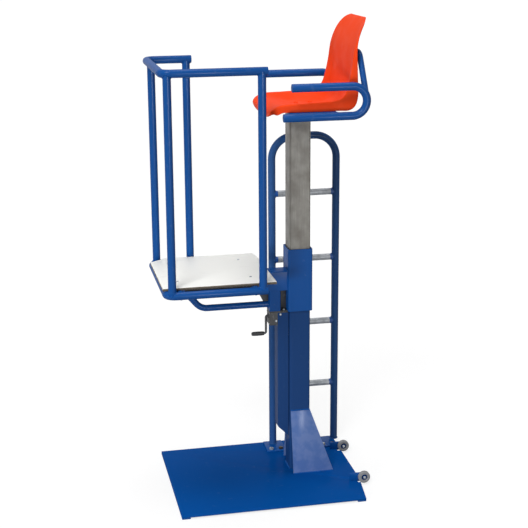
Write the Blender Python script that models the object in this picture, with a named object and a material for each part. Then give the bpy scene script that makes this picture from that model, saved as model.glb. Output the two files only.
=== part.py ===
"""Volleyball referee stand: a seat on a fixed mast, with a footboard and guard rail that a crank winds up the mast.

Units are metres and +Z is up. X runs from the footboard (negative) to the seat back (positive), and the ladder
stands on the +Y side. Every piece is drawn about the mast's axis, with the floor at z = 0, and the stand empty
then puts the middle of the stand's box over the origin.
"""

import math
from collections import namedtuple

import bmesh
import bpy
from mathutils import Vector

# Fits
SEAT_GAP = 0.0003          # between pieces that are welded or seated on each other
RUNNING_GAP = 0.0005       # round a piece that turns or slides in another
TUBE_SIDES = 14            # facets round a bent tube
PIN_SIDES = 16             # facets round a turned piece

# Base: a steel plate on two skids, cut back at the near right corner
SKID_WIDTH = 0.036
SKID_HEIGHT = 0.006
PLATE_THICKNESS = 0.008
BASE_LEFT = -0.578
BASE_RIGHT = 0.229
BASE_FRONT = -0.400
BASE_BACK = 0.266
CORNER_CUT_WIDTH = 0.026
CORNER_CUT_DEPTH = 0.195

# Transport wheels, in notches of the plate's right edge
WHEEL_DIAMETER = 0.052
WHEEL_WIDTH = 0.018
WHEEL_OVERHANG = 0.013     # wheel axis beyond the plate's right edge
WHEEL_FLOOR_GAP = 0.005    # the wheels only touch the floor when the stand is tipped
WHEEL_NEAR_Y = -0.230
WHEEL_FAR_Y = 0.110
NOTCH_GAP = 0.003
AXLE_DIAMETER = 0.008
AXLE_HEAD_DIAMETER = 0.013
AXLE_HEAD_HEIGHT = 0.004
AXLE_HEAD_CHAMFER = 0.001
TYRE_CHAMFER = 0.004
LUG_THICKNESS = 0.006
LUG_LENGTH = 0.060         # from the lug's heel to the wheel axis

# Mast: one square tube from the plate to the seat
MAST_SIZE = 0.090
MAST_WALL = 0.004
MAST_CORNER = 0.008
MAST_TOP = 1.612
GUSSET_RISE = 0.275        # up the mast from the plate
GUSSET_FOOT = 0.055        # out from the mast's face at the plate
GUSSET_FLARE = 0.094       # how far the right edge spreads beyond the mast's side
GUSSET_INSET = 0.004       # how far the left edge stands in from the mast's side
GUSSET_THICKNESS = 0.005

# Round tube of the rail, the frame, the arms and the ladder
TUBE_DIAMETER = 0.0337
TUBE_WALL = 0.0026
DRAIN_DIAMETER = 0.008
DRAIN_FROM_END = 0.060

# Seat: a carrier plate on the mast, two looped arms, a back hoop and a moulded shell
SEAT_PLATE_THICKNESS = 0.008
SEAT_PLATE_FRONT = -0.080
SEAT_PLATE_REAR = 0.110
ARM_SPACING = 0.500
ARM_BELOW_PLATE = 0.008    # lower run's centre line, down from the plate's middle
ARM_RISE = 0.116           # armrest above the lower run
ARM_LOWER_FRONT = -0.118
ARM_UPPER_FRONT = -0.084
ARM_REAR = 0.2215          # furthest point of the arm's centre line
HOOP_SETBACK = 0.002       # hoop's plane, in from the furthest point of the arms
HOOP_RISE = 0.229          # hoop's top above the seat plate's middle
HOOP_TOP_LENGTH = 0.281
HOOP_DIAMETER = 0.025
HOOP_BEND = 0.050
SHELL_WALL = 0.0045
SHELL_HALF_WIDTH = 0.200
SEAT_BOLT_DIAMETER = 0.008
SEAT_BOLT_HEAD = 0.020
SEAT_BOLT_HEAD_HEIGHT = 0.004
SEAT_BOLT_FRONT = 0.005
SEAT_BOLT_PITCH = 0.060
SEAT_BOLT_SPACING = 0.120
SEAT_BOLT_LENGTH = 0.022

# Ladder: a hoop of tube, four rungs and two bolted feet
LADDER_SETBACK = 0.030     # hoop's plane, in from the plate's back edge
LADDER_LEFT = -0.061
LADDER_RIGHT = 0.229
LADDER_BEND = 0.100
RUNG_COUNT = 4
RUNG_SPACING = 0.300
RUNG_DIAMETER = 0.0285
RUNG_WALL = 0.002
LADDER_HEADROOM = 0.254    # hoop's top above the last rung
FOOT_THICKNESS = 0.006
FOOT_WIDTH = 0.086
FOOT_FORWARD = 0.090       # from the hoop's plane to the foot's front edge
FOOT_BACKWARD = 0.022
FOOT_BOLT_SPACING = 0.044
FOOT_BOLT_FORWARD = 0.070
RIGHT_FOOT_SHIFT = 0.046   # the right foot sits inwards, because its upright stands at the plate's edge
FOOT_BOLT_DIAMETER = 0.010
FOOT_BOLT_ACROSS_FLATS = 0.017
FOOT_BOLT_HEAD_HEIGHT = 0.0065

# Carriage: a sleeve on the mast with a bracket, a leg and two slide bushes
LIFT_TRAVEL = 0.400
SLEEVE_BOTTOM = 0.7455
SLEEVE_HEIGHT = 0.2735
SLEEVE_WALL = 0.004
SLEEVE_CORNER = 0.007
BUSH_THICKNESS = 0.003
BUSH_HEIGHT = 0.040
BUSH_INSET = 0.005
BRACKET_HALF_WIDTH = 0.0365
BRACKET_SHEET = 0.004
BRACKET_TOP = 0.1765       # above the sleeve's bottom edge
BRACKET_ARM_DEPTH = 0.016
BRACKET_DEPTH = 0.084      # at the sleeve
LEG_WIDTH = 0.048
LEG_WALL = 0.003
LEG_HEIGHT = 0.116
LEG_FROM_SLEEVE = 0.029

# Footboard, its frame and the guard rail
PLATFORM_LEFT = -0.595
PLATFORM_RIGHT = -0.185    # cut ends of the frame's side tubes
PLATFORM_WIDTH = 0.513     # between the centre lines of the side tubes
PLATFORM_RISE = 0.165      # frame's centre line above the sleeve's bottom edge
PLATFORM_BEND = 0.035
CROSS_LEFT_X = -0.539
CROSS_RIGHT_X = -0.233
BRACE_RISE = 0.0265        # brace's centre line above the sleeve's bottom edge
BRACE_SLOPE = 50.0         # degrees, of its rising end
BRACE_BEND = 0.060
RAIL_RISE = 0.8855         # rail's centre line above the frame's
NEAR_RAIL_END = -0.181
FAR_RAIL_END = -0.403
POST_CORNER_INSET = 0.020  # corner posts, in from the left tube's centre line
POST_END_INSET = 0.023     # end posts, in from the rail's cut ends
BOARD_THICKNESS = 0.010
BOARD_LEFT_OVERHANG = 0.016  # board's left edge, out from the left tube's centre line
BOARD_RIGHT = -0.143
BOARD_POST_GAP = 0.004
BOARD_LEFT_CHAMFER = (0.071, 0.056)
BOARD_RIGHT_CHAMFER = (0.010, 0.060)
SCREW_SPACING = 0.276
SCREW_DIAMETER = 0.005
SCREW_HEAD = 0.011
SCREW_HEAD_HEIGHT = 0.0025
SCREW_LENGTH = 0.020

# Screw lift: crank, bevel gears, spindle in its guard, and the nut on the mast
SPINDLE_DIAMETER = 0.022
SPINDLE_FROM_MAST = 0.026  # spindle's axis, out from the mast's left face
SPINDLE_CHAMFER = 0.003
JOURNAL_DIAMETER = 0.014
JOURNAL_END_GAP = 0.001    # under the small end of the bevel gear
NUT_HEIGHT = 0.040
NUT_WIDTH = 0.048
NUT_BEYOND_SPINDLE = 0.016
NUT_TOP_GAP = 0.014        # under the gearbox at the lowest position
SPINDLE_SPARE = 0.006      # spindle left below the nut at the highest position
GUARD_WALL = 0.003
GUARD_DEPTH = 0.066        # across the mast's face
GUARD_MAST_GAP = 0.003
GUARD_REACH = 0.047        # from the open side to the web
GUARD_BELOW_SPINDLE = 0.007
GUARD_LAP = 0.0555         # how far the guard's cheeks lap the gearbox
GEARBOX_HEIGHT = 0.0605
GEARBOX_LEFT = -0.130
GEARBOX_WALL = 0.004
GEARBOX_LID = 0.003
CRANK_WALL = 0.008         # gearbox wall that carries the crank
CRANK_BELOW_LID = 0.0225   # crank's axis, down from the top of the gearbox
ROD_DIAMETER = 0.010
ROD_BEND = 0.0085
CRANK_THROW = 0.0795
CRANK_STANDOFF = 0.0105    # crank arm, out from the gearbox
GRIP_DIAMETER = 0.019
GRIP_LENGTH = 0.052
GRIP_TAPER = 0.0015        # narrowing of the grip's radius at its ends
GRIP_HEAD_DIAMETER = 0.014
GRIP_HEAD_THICKNESS = 0.002
GEAR_TEETH = 12
GEAR_PITCH_RADIUS = 0.016
GEAR_ADDENDUM = 0.0018
GEAR_DEDENDUM = 0.0030
GEAR_FACE = 0.38           # share of the cone distance that the teeth cover
GEAR_HUB_DIAMETER = 0.024
TOOTH_ROOT_SHARE = 0.46    # of the tooth pitch
TOOTH_TIP_SHARE = 0.20

# Heights and places that follow from the sizes above
PLATE_BOTTOM = SKID_HEIGHT + SEAT_GAP
DECK = PLATE_BOTTOM + PLATE_THICKNESS
MAST_HALF = MAST_SIZE / 2
TUBE_RADIUS = TUBE_DIAMETER / 2
SEAT_PLATE_BOTTOM = MAST_TOP + SEAT_GAP
SEAT_PLATE_TOP = SEAT_PLATE_BOTTOM + SEAT_PLATE_THICKNESS
SEAT_PLATE_MIDDLE = (SEAT_PLATE_BOTTOM + SEAT_PLATE_TOP) / 2
ARM_LOWER_Z = SEAT_PLATE_MIDDLE - ARM_BELOW_PLATE
ARM_UPPER_Z = ARM_LOWER_Z + ARM_RISE
ARM_Y = ARM_SPACING / 2
PAN_TOP = SEAT_PLATE_TOP + SEAT_GAP + SHELL_WALL
LADDER_Y = BASE_BACK - LADDER_SETBACK
LADDER_TOP = RUNG_COUNT * RUNG_SPACING + LADDER_HEADROOM
WHEEL_RADIUS = WHEEL_DIAMETER / 2
WHEEL_X = BASE_RIGHT + WHEEL_OVERHANG
WHEEL_Z = WHEEL_RADIUS + WHEEL_FLOOR_GAP
SLEEVE_TOP = SLEEVE_BOTTOM + SLEEVE_HEIGHT
SLEEVE_HALF = MAST_HALF + RUNNING_GAP + BUSH_THICKNESS + SEAT_GAP + SLEEVE_WALL
SLEEVE_LEFT = -SLEEVE_HALF
PLATFORM_Z = SLEEVE_BOTTOM + PLATFORM_RISE
PLATFORM_Y = PLATFORM_WIDTH / 2
RAIL_Z = PLATFORM_Z + RAIL_RISE
BOARD_BOTTOM = PLATFORM_Z + TUBE_RADIUS + SEAT_GAP
BOARD_TOP = BOARD_BOTTOM + BOARD_THICKNESS
LEG_RIGHT = SLEEVE_LEFT - LEG_FROM_SLEEVE
LEG_LEFT = LEG_RIGHT - LEG_WIDTH
LEG_BOTTOM = SLEEVE_BOTTOM + SEAT_GAP
LEG_TOP = LEG_BOTTOM + LEG_HEIGHT
LID_TOP = LEG_BOTTOM - SEAT_GAP
GEARBOX_TOP = LID_TOP - GEARBOX_LID - SEAT_GAP
GEARBOX_BOTTOM = GEARBOX_TOP - GEARBOX_HEIGHT
GUARD_RIGHT = -MAST_HALF - GUARD_MAST_GAP
GUARD_LEFT = GUARD_RIGHT - GUARD_REACH
GUARD_HALF = GUARD_DEPTH / 2
GEARBOX_HALF = GUARD_HALF - GUARD_WALL - SEAT_GAP
SPINDLE_X = -MAST_HALF - SPINDLE_FROM_MAST
CRANK_Z = GEARBOX_TOP - CRANK_BELOW_LID
NUT_TOP = GEARBOX_BOTTOM - NUT_TOP_GAP
SPINDLE_BOTTOM = NUT_TOP - NUT_HEIGHT - LIFT_TRAVEL - SPINDLE_SPARE
CRANK_ARM_X = GEARBOX_LEFT - CRANK_STANDOFF
GRIP_Z = CRANK_Z - CRANK_THROW
GRIP_RIGHT = CRANK_ARM_X - ROD_BEND - RUNNING_GAP
GRIP_LEFT = GRIP_RIGHT - GRIP_LENGTH

# The stand's box, whose middle goes over the origin
BOX_LEFT = PLATFORM_LEFT - TUBE_RADIUS
BOX_RIGHT = WHEEL_X + WHEEL_RADIUS
BOX_BACK = max(BASE_BACK, PLATFORM_Y + TUBE_RADIUS)
STAND_ORIGIN = Vector((-(BOX_LEFT + BOX_RIGHT) / 2, -(BASE_FRONT + BOX_BACK) / 2, 0.0))

Carrier = namedtuple("Carrier", "empty place")
Finish = namedtuple("Finish", "colour roughness metallic")

BLUE_PAINT = Finish((0.010, 0.068, 0.270), 0.35, 0.0)
BARE_STEEL = Finish((0.300, 0.290, 0.270), 0.42, 0.9)
ZINC = Finish((0.560, 0.570, 0.590), 0.38, 0.9)
ORANGE_SHELL = Finish((0.800, 0.080, 0.022), 0.40, 0.0)
WHITE_BOARD = Finish((0.860, 0.850, 0.800), 0.55, 0.0)
BLACK_PLASTIC = Finish((0.020, 0.020, 0.022), 0.50, 0.0)
GREY_RUBBER = Finish((0.240, 0.240, 0.240), 0.70, 0.0)
GREASED_STEEL = Finish((0.120, 0.110, 0.100), 0.35, 0.9)


def make_material(name, finish):
    """A Principled material with one finish."""
    material = bpy.data.materials.new(name)
    material.use_nodes = True
    shader = material.node_tree.nodes["Principled BSDF"]
    shader.inputs["Base Color"].default_value = (*finish.colour, 1.0)
    shader.inputs["Roughness"].default_value = finish.roughness
    shader.inputs["Metallic"].default_value = finish.metallic
    return material


def make_carrier(name, place, parent=None):
    """An empty at a place given about the mast's axis, with the pieces that move together under it."""
    empty = bpy.data.objects.new(name, None)
    empty.empty_display_size = 0.05
    bpy.context.collection.objects.link(empty)
    place = Vector(place)
    if parent is None:
        empty.location = STAND_ORIGIN + place
    else:
        empty.parent = parent.empty
        empty.location = place - parent.place
    return Carrier(empty, place)


def add_piece(name, bm, carrier, finish=None):
    """Links a finished mesh under its carrier. A piece with no finish is a cutter."""
    bmesh.ops.translate(bm, verts=bm.verts, vec=-carrier.place)
    mesh = bpy.data.meshes.new(name)
    bm.to_mesh(mesh)
    bm.free()
    piece = bpy.data.objects.new(name, mesh)
    piece.parent = carrier.empty
    bpy.context.collection.objects.link(piece)
    if finish is None:
        piece.hide_render = True
        piece.display_type = "WIRE"
    else:
        mesh.shade_smooth()
        mesh.set_sharp_from_angle(angle=math.radians(35))
        mesh.materials.append(make_material(name, finish))
    return piece


def cut(piece, *cutters):
    """Takes each cutter out of a piece."""
    for cutter in cutters:
        modifier = piece.modifiers.new(cutter.name, "BOOLEAN")
        modifier.operation = "DIFFERENCE"
        modifier.solver = "EXACT"
        modifier.object = cutter
    return piece


def loft(loops, cyclic=False, bm=None, inward=False):
    """A closed skin over loops of points: a ring through them all if cyclic, or else capped at both ends."""
    bm = bm or bmesh.new()
    rings = [[bm.verts.new(point) for point in loop] for loop in loops]
    faces = []
    pairs = list(zip(rings, rings[1:]))
    if cyclic:
        pairs.append((rings[-1], rings[0]))
    for one, other in pairs:
        for i in range(len(one)):
            j = (i + 1) % len(one)
            faces.append(bm.faces.new((one[i], one[j], other[j], other[i])))
    if not cyclic:
        faces.append(bm.faces.new(rings[0]))
        faces.append(bm.faces.new(rings[-1]))
    bmesh.ops.recalc_face_normals(bm, faces=faces)
    if inward:
        bmesh.ops.reverse_faces(bm, faces=faces)
    return bm


def on_axis(axis, first, second, along):
    """A point from two coordinates across an axis and one along it."""
    return Vector({"X": (along, first, second), "Y": (first, along, second), "Z": (first, second, along)}[axis])


def prism(outline, axis, low, high):
    """An outline pushed out along an axis."""
    return loft([[on_axis(axis, a, b, end) for a, b in outline] for end in (low, high)])


def box(low, high):
    """A plain block between two corners."""
    outline = [(low[0], low[1]), (high[0], low[1]), (high[0], high[1]), (low[0], high[1])]
    return prism(outline, "Z", low[2], high[2])


def arc(centre, radius, start, end, steps):
    """Points of a flat arc, with angles in degrees."""
    angles = [math.radians(start + (end - start) * i / steps) for i in range(steps + 1)]
    return [(centre[0] + radius * math.cos(a), centre[1] + radius * math.sin(a)) for a in angles]


def rounded_square(half, radius, centre=(0.0, 0.0), steps=3):
    """A square outline with round corners."""
    reach = half - radius
    outline = []
    for quarter, (sx, sy) in enumerate(((1, 1), (-1, 1), (-1, -1), (1, -1))):
        corner = (centre[0] + sx * reach, centre[1] + sy * reach)
        outline += arc(corner, radius, 90 * quarter, 90 * quarter + 90, steps)
    return outline


def square_tube(half, wall, corner, low, high):
    """An upright square tube about the mast's axis, open at both ends."""
    outer = rounded_square(half, corner)
    inner = rounded_square(half - wall, max(corner - wall, corner / 4))
    levels = ((outer, low), (outer, high), (inner, high), (inner, low))
    return loft([[Vector((x, y, z)) for x, y in outline] for outline, z in levels], cyclic=True)


def circle(axis, centre, radius, along, sides):
    """Points round an axis, with centre giving the two coordinates across it."""
    turn = 2 * math.pi / sides
    return [
        on_axis(axis, centre[0] + radius * math.cos(i * turn), centre[1] + radius * math.sin(i * turn), along)
        for i in range(sides)
    ]


def turned(profile, axis, centre, cyclic=False, sides=PIN_SIDES):
    """A turned piece from pairs of radius and place along its axis. A cyclic profile leaves a bore."""
    return loft([circle(axis, centre, radius, along, sides) for radius, along in profile], cyclic)


def bent_path(corners, bend, steps):
    """A path through corner points, with an arc of the bend's radius at each inner corner."""
    path = [Vector(corners[0])]
    for before, corner, after in zip(corners, corners[1:], corners[2:]):
        before, corner, after = Vector(before), Vector(corner), Vector(after)
        back, ahead = (before - corner).normalized(), (after - corner).normalized()
        half = back.angle(ahead) / 2
        middle = (back + ahead).normalized()
        centre = corner + middle * (bend / math.sin(half))
        first = corner + back * (bend / math.tan(half)) - centre
        last = corner + ahead * (bend / math.tan(half)) - centre
        sweep = first.angle(last)
        for i in range(steps + 1):
            share = i / steps
            weight = math.sin(sweep)
            spoke = first * (math.sin((1 - share) * sweep) / weight) + last * (math.sin(share * sweep) / weight)
            path.append(centre + spoke)
    path.append(Vector(corners[-1]))
    return path


def rings_along(path, normal, radii, sides=TUBE_SIDES):
    """Rings of points square to a flat path, whose plane has the given normal."""
    normal = Vector(normal)
    turn = 2 * math.pi / sides
    rings = []
    for i, point in enumerate(path):
        ahead = path[min(i + 1, len(path) - 1)] - path[max(i - 1, 0)]
        side = ahead.cross(normal).normalized()
        ring = []
        for k in range(sides):
            spoke = side * math.cos(k * turn) + normal * math.sin(k * turn)
            ring.append(point + spoke * radii[i])
        rings.append(ring)
    return rings


def rod(path, normal, radius):
    """A solid round bar along a path."""
    return loft(rings_along(path, normal, [radius] * len(path)))


def room_round(path, normal, radius):
    """A solid bar that clears a round tube of the given radius by the seat gap, for coping other tubes to it."""
    return rod(path, normal, (radius + SEAT_GAP) / math.cos(math.pi / TUBE_SIDES))


def open_tube(path, normal, radius, wall):
    """A tube along a path, open at both ends."""
    outer = rings_along(path, normal, [radius] * len(path))
    inner = rings_along(path, normal, [radius - wall] * len(path))
    return loft(outer + inner[::-1], cyclic=True)


def capped_tube(path, normal, radius, wall):
    """A tube along a path, with a disc welded in each end. Its hollow is opened by a drain hole later."""
    bm = loft(rings_along(path, normal, [radius] * len(path)))
    first = path[0] + (path[1] - path[0]).normalized() * wall
    last = path[-1] + (path[-2] - path[-1]).normalized() * wall
    hollow = [first, *path[1:-1], last]
    return loft(rings_along(hollow, normal, [radius - wall] * len(hollow)), bm=bm, inward=True)


def drain_cutter(name, carrier, x, y, z):
    """A drill through the lower wall of a tube that runs along X."""
    profile = ((DRAIN_DIAMETER / 2, z - 2 * TUBE_RADIUS), (DRAIN_DIAMETER / 2, z))
    return add_piece(name, turned(profile, "Z", (x, y)), carrier)


def hole_cutter(name, carrier, diameter, x, y, low, high):
    """An upright drill for a fastener, with running room round it."""
    radius = diameter / 2 + RUNNING_GAP
    return add_piece(name, turned(((radius, low), (radius, high)), "Z", (x, y)), carrier)


def build_base(stand):
    """Skids, plate, ladder feet and their bolts."""
    skid_length = (BASE_FRONT, BASE_BACK)
    right_edge = BASE_RIGHT - CORNER_CUT_WIDTH
    for side, left in (("left", BASE_LEFT), ("right", right_edge - SKID_WIDTH)):
        skid = box((left, skid_length[0], 0.0), (left + SKID_WIDTH, skid_length[1], SKID_HEIGHT))
        add_piece(f"base_skid_{side}", skid, stand, BLUE_PAINT)

    notch_x = WHEEL_X - WHEEL_RADIUS - NOTCH_GAP
    notch_half = WHEEL_WIDTH / 2 + NOTCH_GAP
    outline = [(BASE_LEFT, BASE_BACK), (BASE_LEFT, BASE_FRONT), (right_edge, BASE_FRONT)]
    cut_back = BASE_FRONT + CORNER_CUT_DEPTH
    outline += [(BASE_RIGHT, cut_back), (BASE_RIGHT, BASE_BACK)]
    plate = add_piece("base_plate", prism(outline, "Z", PLATE_BOTTOM, DECK), stand, BLUE_PAINT)
    for side, y in (("near", WHEEL_NEAR_Y), ("far", WHEEL_FAR_Y)):
        low = (notch_x, y - notch_half, PLATE_BOTTOM - PLATE_THICKNESS)
        high = (WHEEL_X, y + notch_half, DECK + PLATE_THICKNESS)
        cut(plate, add_piece(f"notch_cutter_{side}", box(low, high), stand))

    foot_bottom = DECK + SEAT_GAP
    foot_top = foot_bottom + FOOT_THICKNESS
    feet = (("left", LADDER_LEFT), ("right", LADDER_RIGHT - RIGHT_FOOT_SHIFT))
    for side, x in feet:
        low = (x - FOOT_WIDTH / 2, LADDER_Y - FOOT_FORWARD, foot_bottom)
        high = (x + FOOT_WIDTH / 2, LADDER_Y + FOOT_BACKWARD, foot_top)
        foot = add_piece(f"ladder_foot_{side}", box(low, high), stand, BLUE_PAINT)
        for number, bolt_x in enumerate((x - FOOT_BOLT_SPACING / 2, x + FOOT_BOLT_SPACING / 2), 1):
            bolt_y = LADDER_Y - FOOT_BOLT_FORWARD
            name = f"ladder_foot_bolt_{side}_{number}"
            drill = hole_cutter(
                f"{name}_hole", stand, FOOT_BOLT_DIAMETER, bolt_x, bolt_y, 0.0, foot_top + FOOT_THICKNESS
            )
            cut(foot, drill)
            cut(plate, drill)
            add_piece(name, hex_bolt(bolt_x, bolt_y, foot_top + SEAT_GAP, PLATE_BOTTOM), stand, ZINC)


def hex_bolt(x, y, under_head, tip):
    """An upright bolt with a hexagon head. Its shank has six sides too, and keeps the head's corners."""
    across_corners = FOOT_BOLT_ACROSS_FLATS / math.sqrt(3)
    shank = FOOT_BOLT_DIAMETER / 2
    profile = (
        (shank, tip), (shank, under_head), (across_corners, under_head),
        (across_corners, under_head + FOOT_BOLT_HEAD_HEIGHT),
    )
    return turned(profile, "Z", (x, y), sides=6)


def build_mast(stand):
    """The mast and the two sloped plates that stiffen its foot."""
    bottom = DECK + SEAT_GAP
    mast = square_tube(MAST_HALF, MAST_WALL, MAST_CORNER, bottom, MAST_TOP)
    add_piece("mast", mast, stand, BARE_STEEL)
    for side, sign in (("near", -1), ("far", 1)):
        add_piece(f"mast_gusset_{side}", mast_gusset(sign, bottom), stand, BLUE_PAINT)


def mast_gusset(sign, bottom):
    """A sloped plate from the mast's face down to the base, spreading to the right."""
    face = MAST_HALF + SEAT_GAP
    slope = GUSSET_RISE / GUSSET_FOOT
    foot_thickness = GUSSET_THICKNESS * math.hypot(1.0, slope) / slope
    section = (
        (face + GUSSET_FOOT, bottom), (face, bottom + GUSSET_RISE),
        (face, bottom + GUSSET_RISE - foot_thickness * slope), (face + GUSSET_FOOT - foot_thickness, bottom),
    )
    left = -MAST_HALF + GUSSET_INSET
    loops = [[Vector((left, sign * out, z)) for out, z in section]]
    right = [MAST_HALF + GUSSET_FLARE * (1 - (z - bottom) / GUSSET_RISE) for out, z in section]
    loops.append([Vector((x, sign * out, z)) for x, (out, z) in zip(right, section)])
    return loft(loops)


def build_ladder(stand):
    """The hoop and its rungs, each rung coped to the hoop's uprights."""
    bottom = DECK + SEAT_GAP + FOOT_THICKNESS + SEAT_GAP
    corners = [
        (LADDER_LEFT, LADDER_Y, bottom), (LADDER_LEFT, LADDER_Y, LADDER_TOP),
        (LADDER_RIGHT, LADDER_Y, LADDER_TOP), (LADDER_RIGHT, LADDER_Y, bottom),
    ]
    path = bent_path(corners, LADDER_BEND, 6)
    add_piece("ladder_hoop", open_tube(path, (0, 1, 0), TUBE_RADIUS, TUBE_WALL), stand, BLUE_PAINT)
    room = add_piece("ladder_hoop_room", room_round(path, (0, 1, 0), TUBE_RADIUS), stand)
    for number in range(1, RUNG_COUNT + 1):
        z = number * RUNG_SPACING
        ends = [Vector((LADDER_LEFT, LADDER_Y, z)), Vector((LADDER_RIGHT, LADDER_Y, z))]
        rung = open_tube(ends, (0, 1, 0), RUNG_DIAMETER / 2, RUNG_WALL)
        cut(add_piece(f"ladder_rung_{number}", rung, stand, ZINC), room)


def build_wheels(stand, wheels):
    """Lugs on the plate's right edge, the axle bolts, and the wheels on their own carriers."""
    lug_radius = WHEEL_Z - DECK - SEAT_GAP
    bore = AXLE_DIAMETER / 2 + RUNNING_GAP
    for side, wheel in wheels.items():
        y = wheel.place.y
        front, back = y - WHEEL_WIDTH / 2, y + WHEEL_WIDTH / 2
        shoulder = WHEEL_RADIUS - TYRE_CHAMFER
        wheel_profile = (
            (bore, front), (bore, back), (shoulder, back), (WHEEL_RADIUS, back - TYRE_CHAMFER),
            (WHEEL_RADIUS, front + TYRE_CHAMFER), (shoulder, front),
        )
        tyre = turned(wheel_profile, "Y", (WHEEL_X, WHEEL_Z), cyclic=True, sides=24)
        add_piece(f"wheel_{side}", tyre, wheel, GREY_RUBBER)

        lug_front = back + RUNNING_GAP
        lug_back = lug_front + LUG_THICKNESS
        heel = WHEEL_X - LUG_LENGTH
        outline = [(heel, WHEEL_Z + lug_radius), (heel, WHEEL_Z - lug_radius)]
        outline += arc((WHEEL_X, WHEEL_Z), lug_radius, -90, 90, 8)
        lug = add_piece(f"wheel_lug_{side}", prism(outline, "Y", lug_front, lug_back), stand, BLUE_PAINT)
        drill = turned(((bore, lug_front - bore), (bore, lug_back + bore)), "Y", (WHEEL_X, WHEEL_Z))
        cut(lug, add_piece(f"wheel_lug_hole_{side}", drill, stand))

        head = front - RUNNING_GAP
        rim = AXLE_HEAD_DIAMETER / 2
        axle_profile = (
            (rim - AXLE_HEAD_CHAMFER, head - AXLE_HEAD_HEIGHT), (rim, head - AXLE_HEAD_CHAMFER), (rim, head),
            (AXLE_DIAMETER / 2, head), (AXLE_DIAMETER / 2, lug_back),
        )
        add_piece(f"wheel_axle_{side}", turned(axle_profile, "Y", (WHEEL_X, WHEEL_Z)), stand, ZINC)


def arm_path(y):
    """Centre line of an arm: armrest, round the back, and the lower run."""
    radius = ARM_RISE / 2
    centre = (ARM_REAR - radius, ARM_LOWER_Z + radius)
    path = [Vector((ARM_UPPER_FRONT, y, ARM_UPPER_Z))]
    path += [Vector((x, y, z)) for x, z in arc(centre, radius, 90, -90, 10)]
    return path + [Vector((ARM_LOWER_FRONT, y, ARM_LOWER_Z))]


def build_seat(stand):
    """Carrier plate, arms, back hoop, shell and bolts."""
    end = ARM_Y - TUBE_RADIUS - SEAT_GAP
    low = (SEAT_PLATE_FRONT, -end, SEAT_PLATE_BOTTOM)
    high = (SEAT_PLATE_REAR, end, SEAT_PLATE_TOP)
    plate = add_piece("seat_plate", box(low, high), stand, BLUE_PAINT)

    rooms = []
    for side, y in (("near", -ARM_Y), ("far", ARM_Y)):
        path = arm_path(y)
        arm = capped_tube(path, (0, 1, 0), TUBE_RADIUS, TUBE_WALL)
        arm = add_piece(f"seat_arm_{side}", arm, stand, BLUE_PAINT)
        drain = ARM_LOWER_FRONT + DRAIN_FROM_END
        cut(arm, drain_cutter(f"seat_arm_drain_{side}", stand, drain, y, ARM_LOWER_Z))
        room = room_round(path, (0, 1, 0), TUBE_RADIUS)
        rooms.append(add_piece(f"seat_arm_room_{side}", room, stand))

    hoop = open_tube(hoop_path(), (1, 0, 0), HOOP_DIAMETER / 2, TUBE_WALL)
    cut(add_piece("seat_back_hoop", hoop, stand, BLUE_PAINT), *rooms)

    shell = add_piece("seat_shell", seat_shell(), stand, ORANGE_SHELL)
    number = 0
    for x in (SEAT_BOLT_FRONT, SEAT_BOLT_FRONT + SEAT_BOLT_PITCH):
        for y in (-SEAT_BOLT_SPACING / 2, SEAT_BOLT_SPACING / 2):
            number += 1
            under_head = PAN_TOP + SEAT_GAP
            tip = under_head - SEAT_BOLT_LENGTH
            top = under_head + SEAT_BOLT_HEAD_HEIGHT
            drill = hole_cutter(f"seat_bolt_hole_{number}", stand, SEAT_BOLT_DIAMETER, x, y, tip, top + SHELL_WALL)
            cut(shell, drill)
            cut(plate, drill)
            profile = (
                (SEAT_BOLT_DIAMETER / 2, tip), (SEAT_BOLT_DIAMETER / 2, under_head),
                (SEAT_BOLT_HEAD / 2, under_head), (SEAT_BOLT_HEAD / 2, under_head + SEAT_BOLT_HEAD_HEIGHT / 3),
                (SEAT_BOLT_HEAD / 4, top),
            )
            add_piece(f"seat_bolt_{number}", turned(profile, "Z", (x, y)), stand, ZINC)


def hoop_path():
    """Centre line of the back hoop: up from both arms, leaning in, and across behind the shell."""
    x = ARM_REAR - HOOP_SETBACK
    bend = ARM_RISE / 2
    rise = math.sqrt(bend ** 2 - (bend - HOOP_SETBACK) ** 2)
    start = ARM_LOWER_Z + bend + rise
    top = SEAT_PLATE_MIDDLE + HOOP_RISE
    half = HOOP_TOP_LENGTH / 2
    corners = [(x, -ARM_Y, start), (x, -half, top), (x, half, top), (x, ARM_Y, start)]
    return bent_path(corners, HOOP_BEND, 4)


# Stations of the shell's middle line, from the front lip over the pan and up the back. Each gives its place in x,
# its height over the pan, its half width as a share of the full one, the rim's rise and the depth of the turned edge.
SHELL_STATIONS = (
    (-0.148, -0.036, 0.36, 0.000, 0.000),
    (-0.154, -0.027, 0.66, 0.000, 0.005),
    (-0.156, -0.012, 0.86, 0.001, 0.015),
    (-0.151, 0.000, 0.93, 0.002, 0.025),
    (-0.136, 0.010, 0.97, 0.005, 0.030),
    (-0.105, 0.015, 0.99, 0.012, 0.031),
    (-0.055, 0.008, 1.00, 0.022, 0.034),
    (-0.010, 0.000, 1.00, 0.031, 0.035),
    (0.080, 0.000, 1.00, 0.034, 0.038),
    (0.124, 0.006, 1.00, 0.034, 0.044),
    (0.155, 0.026, 1.00, 0.030, 0.064),
    (0.172, 0.060, 1.00, 0.022, 0.052),
    (0.183, 0.110, 0.99, 0.018, 0.035),
    (0.188, 0.170, 0.98, 0.011, 0.021),
    (0.191, 0.240, 0.96, 0.004, 0.010),
    (0.213, 0.300, 0.90, 0.004, 0.002),
    (0.238, 0.340, 0.76, 0.003, 0.002),
    (0.255, 0.357, 0.52, 0.001, 0.002),
)
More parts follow.
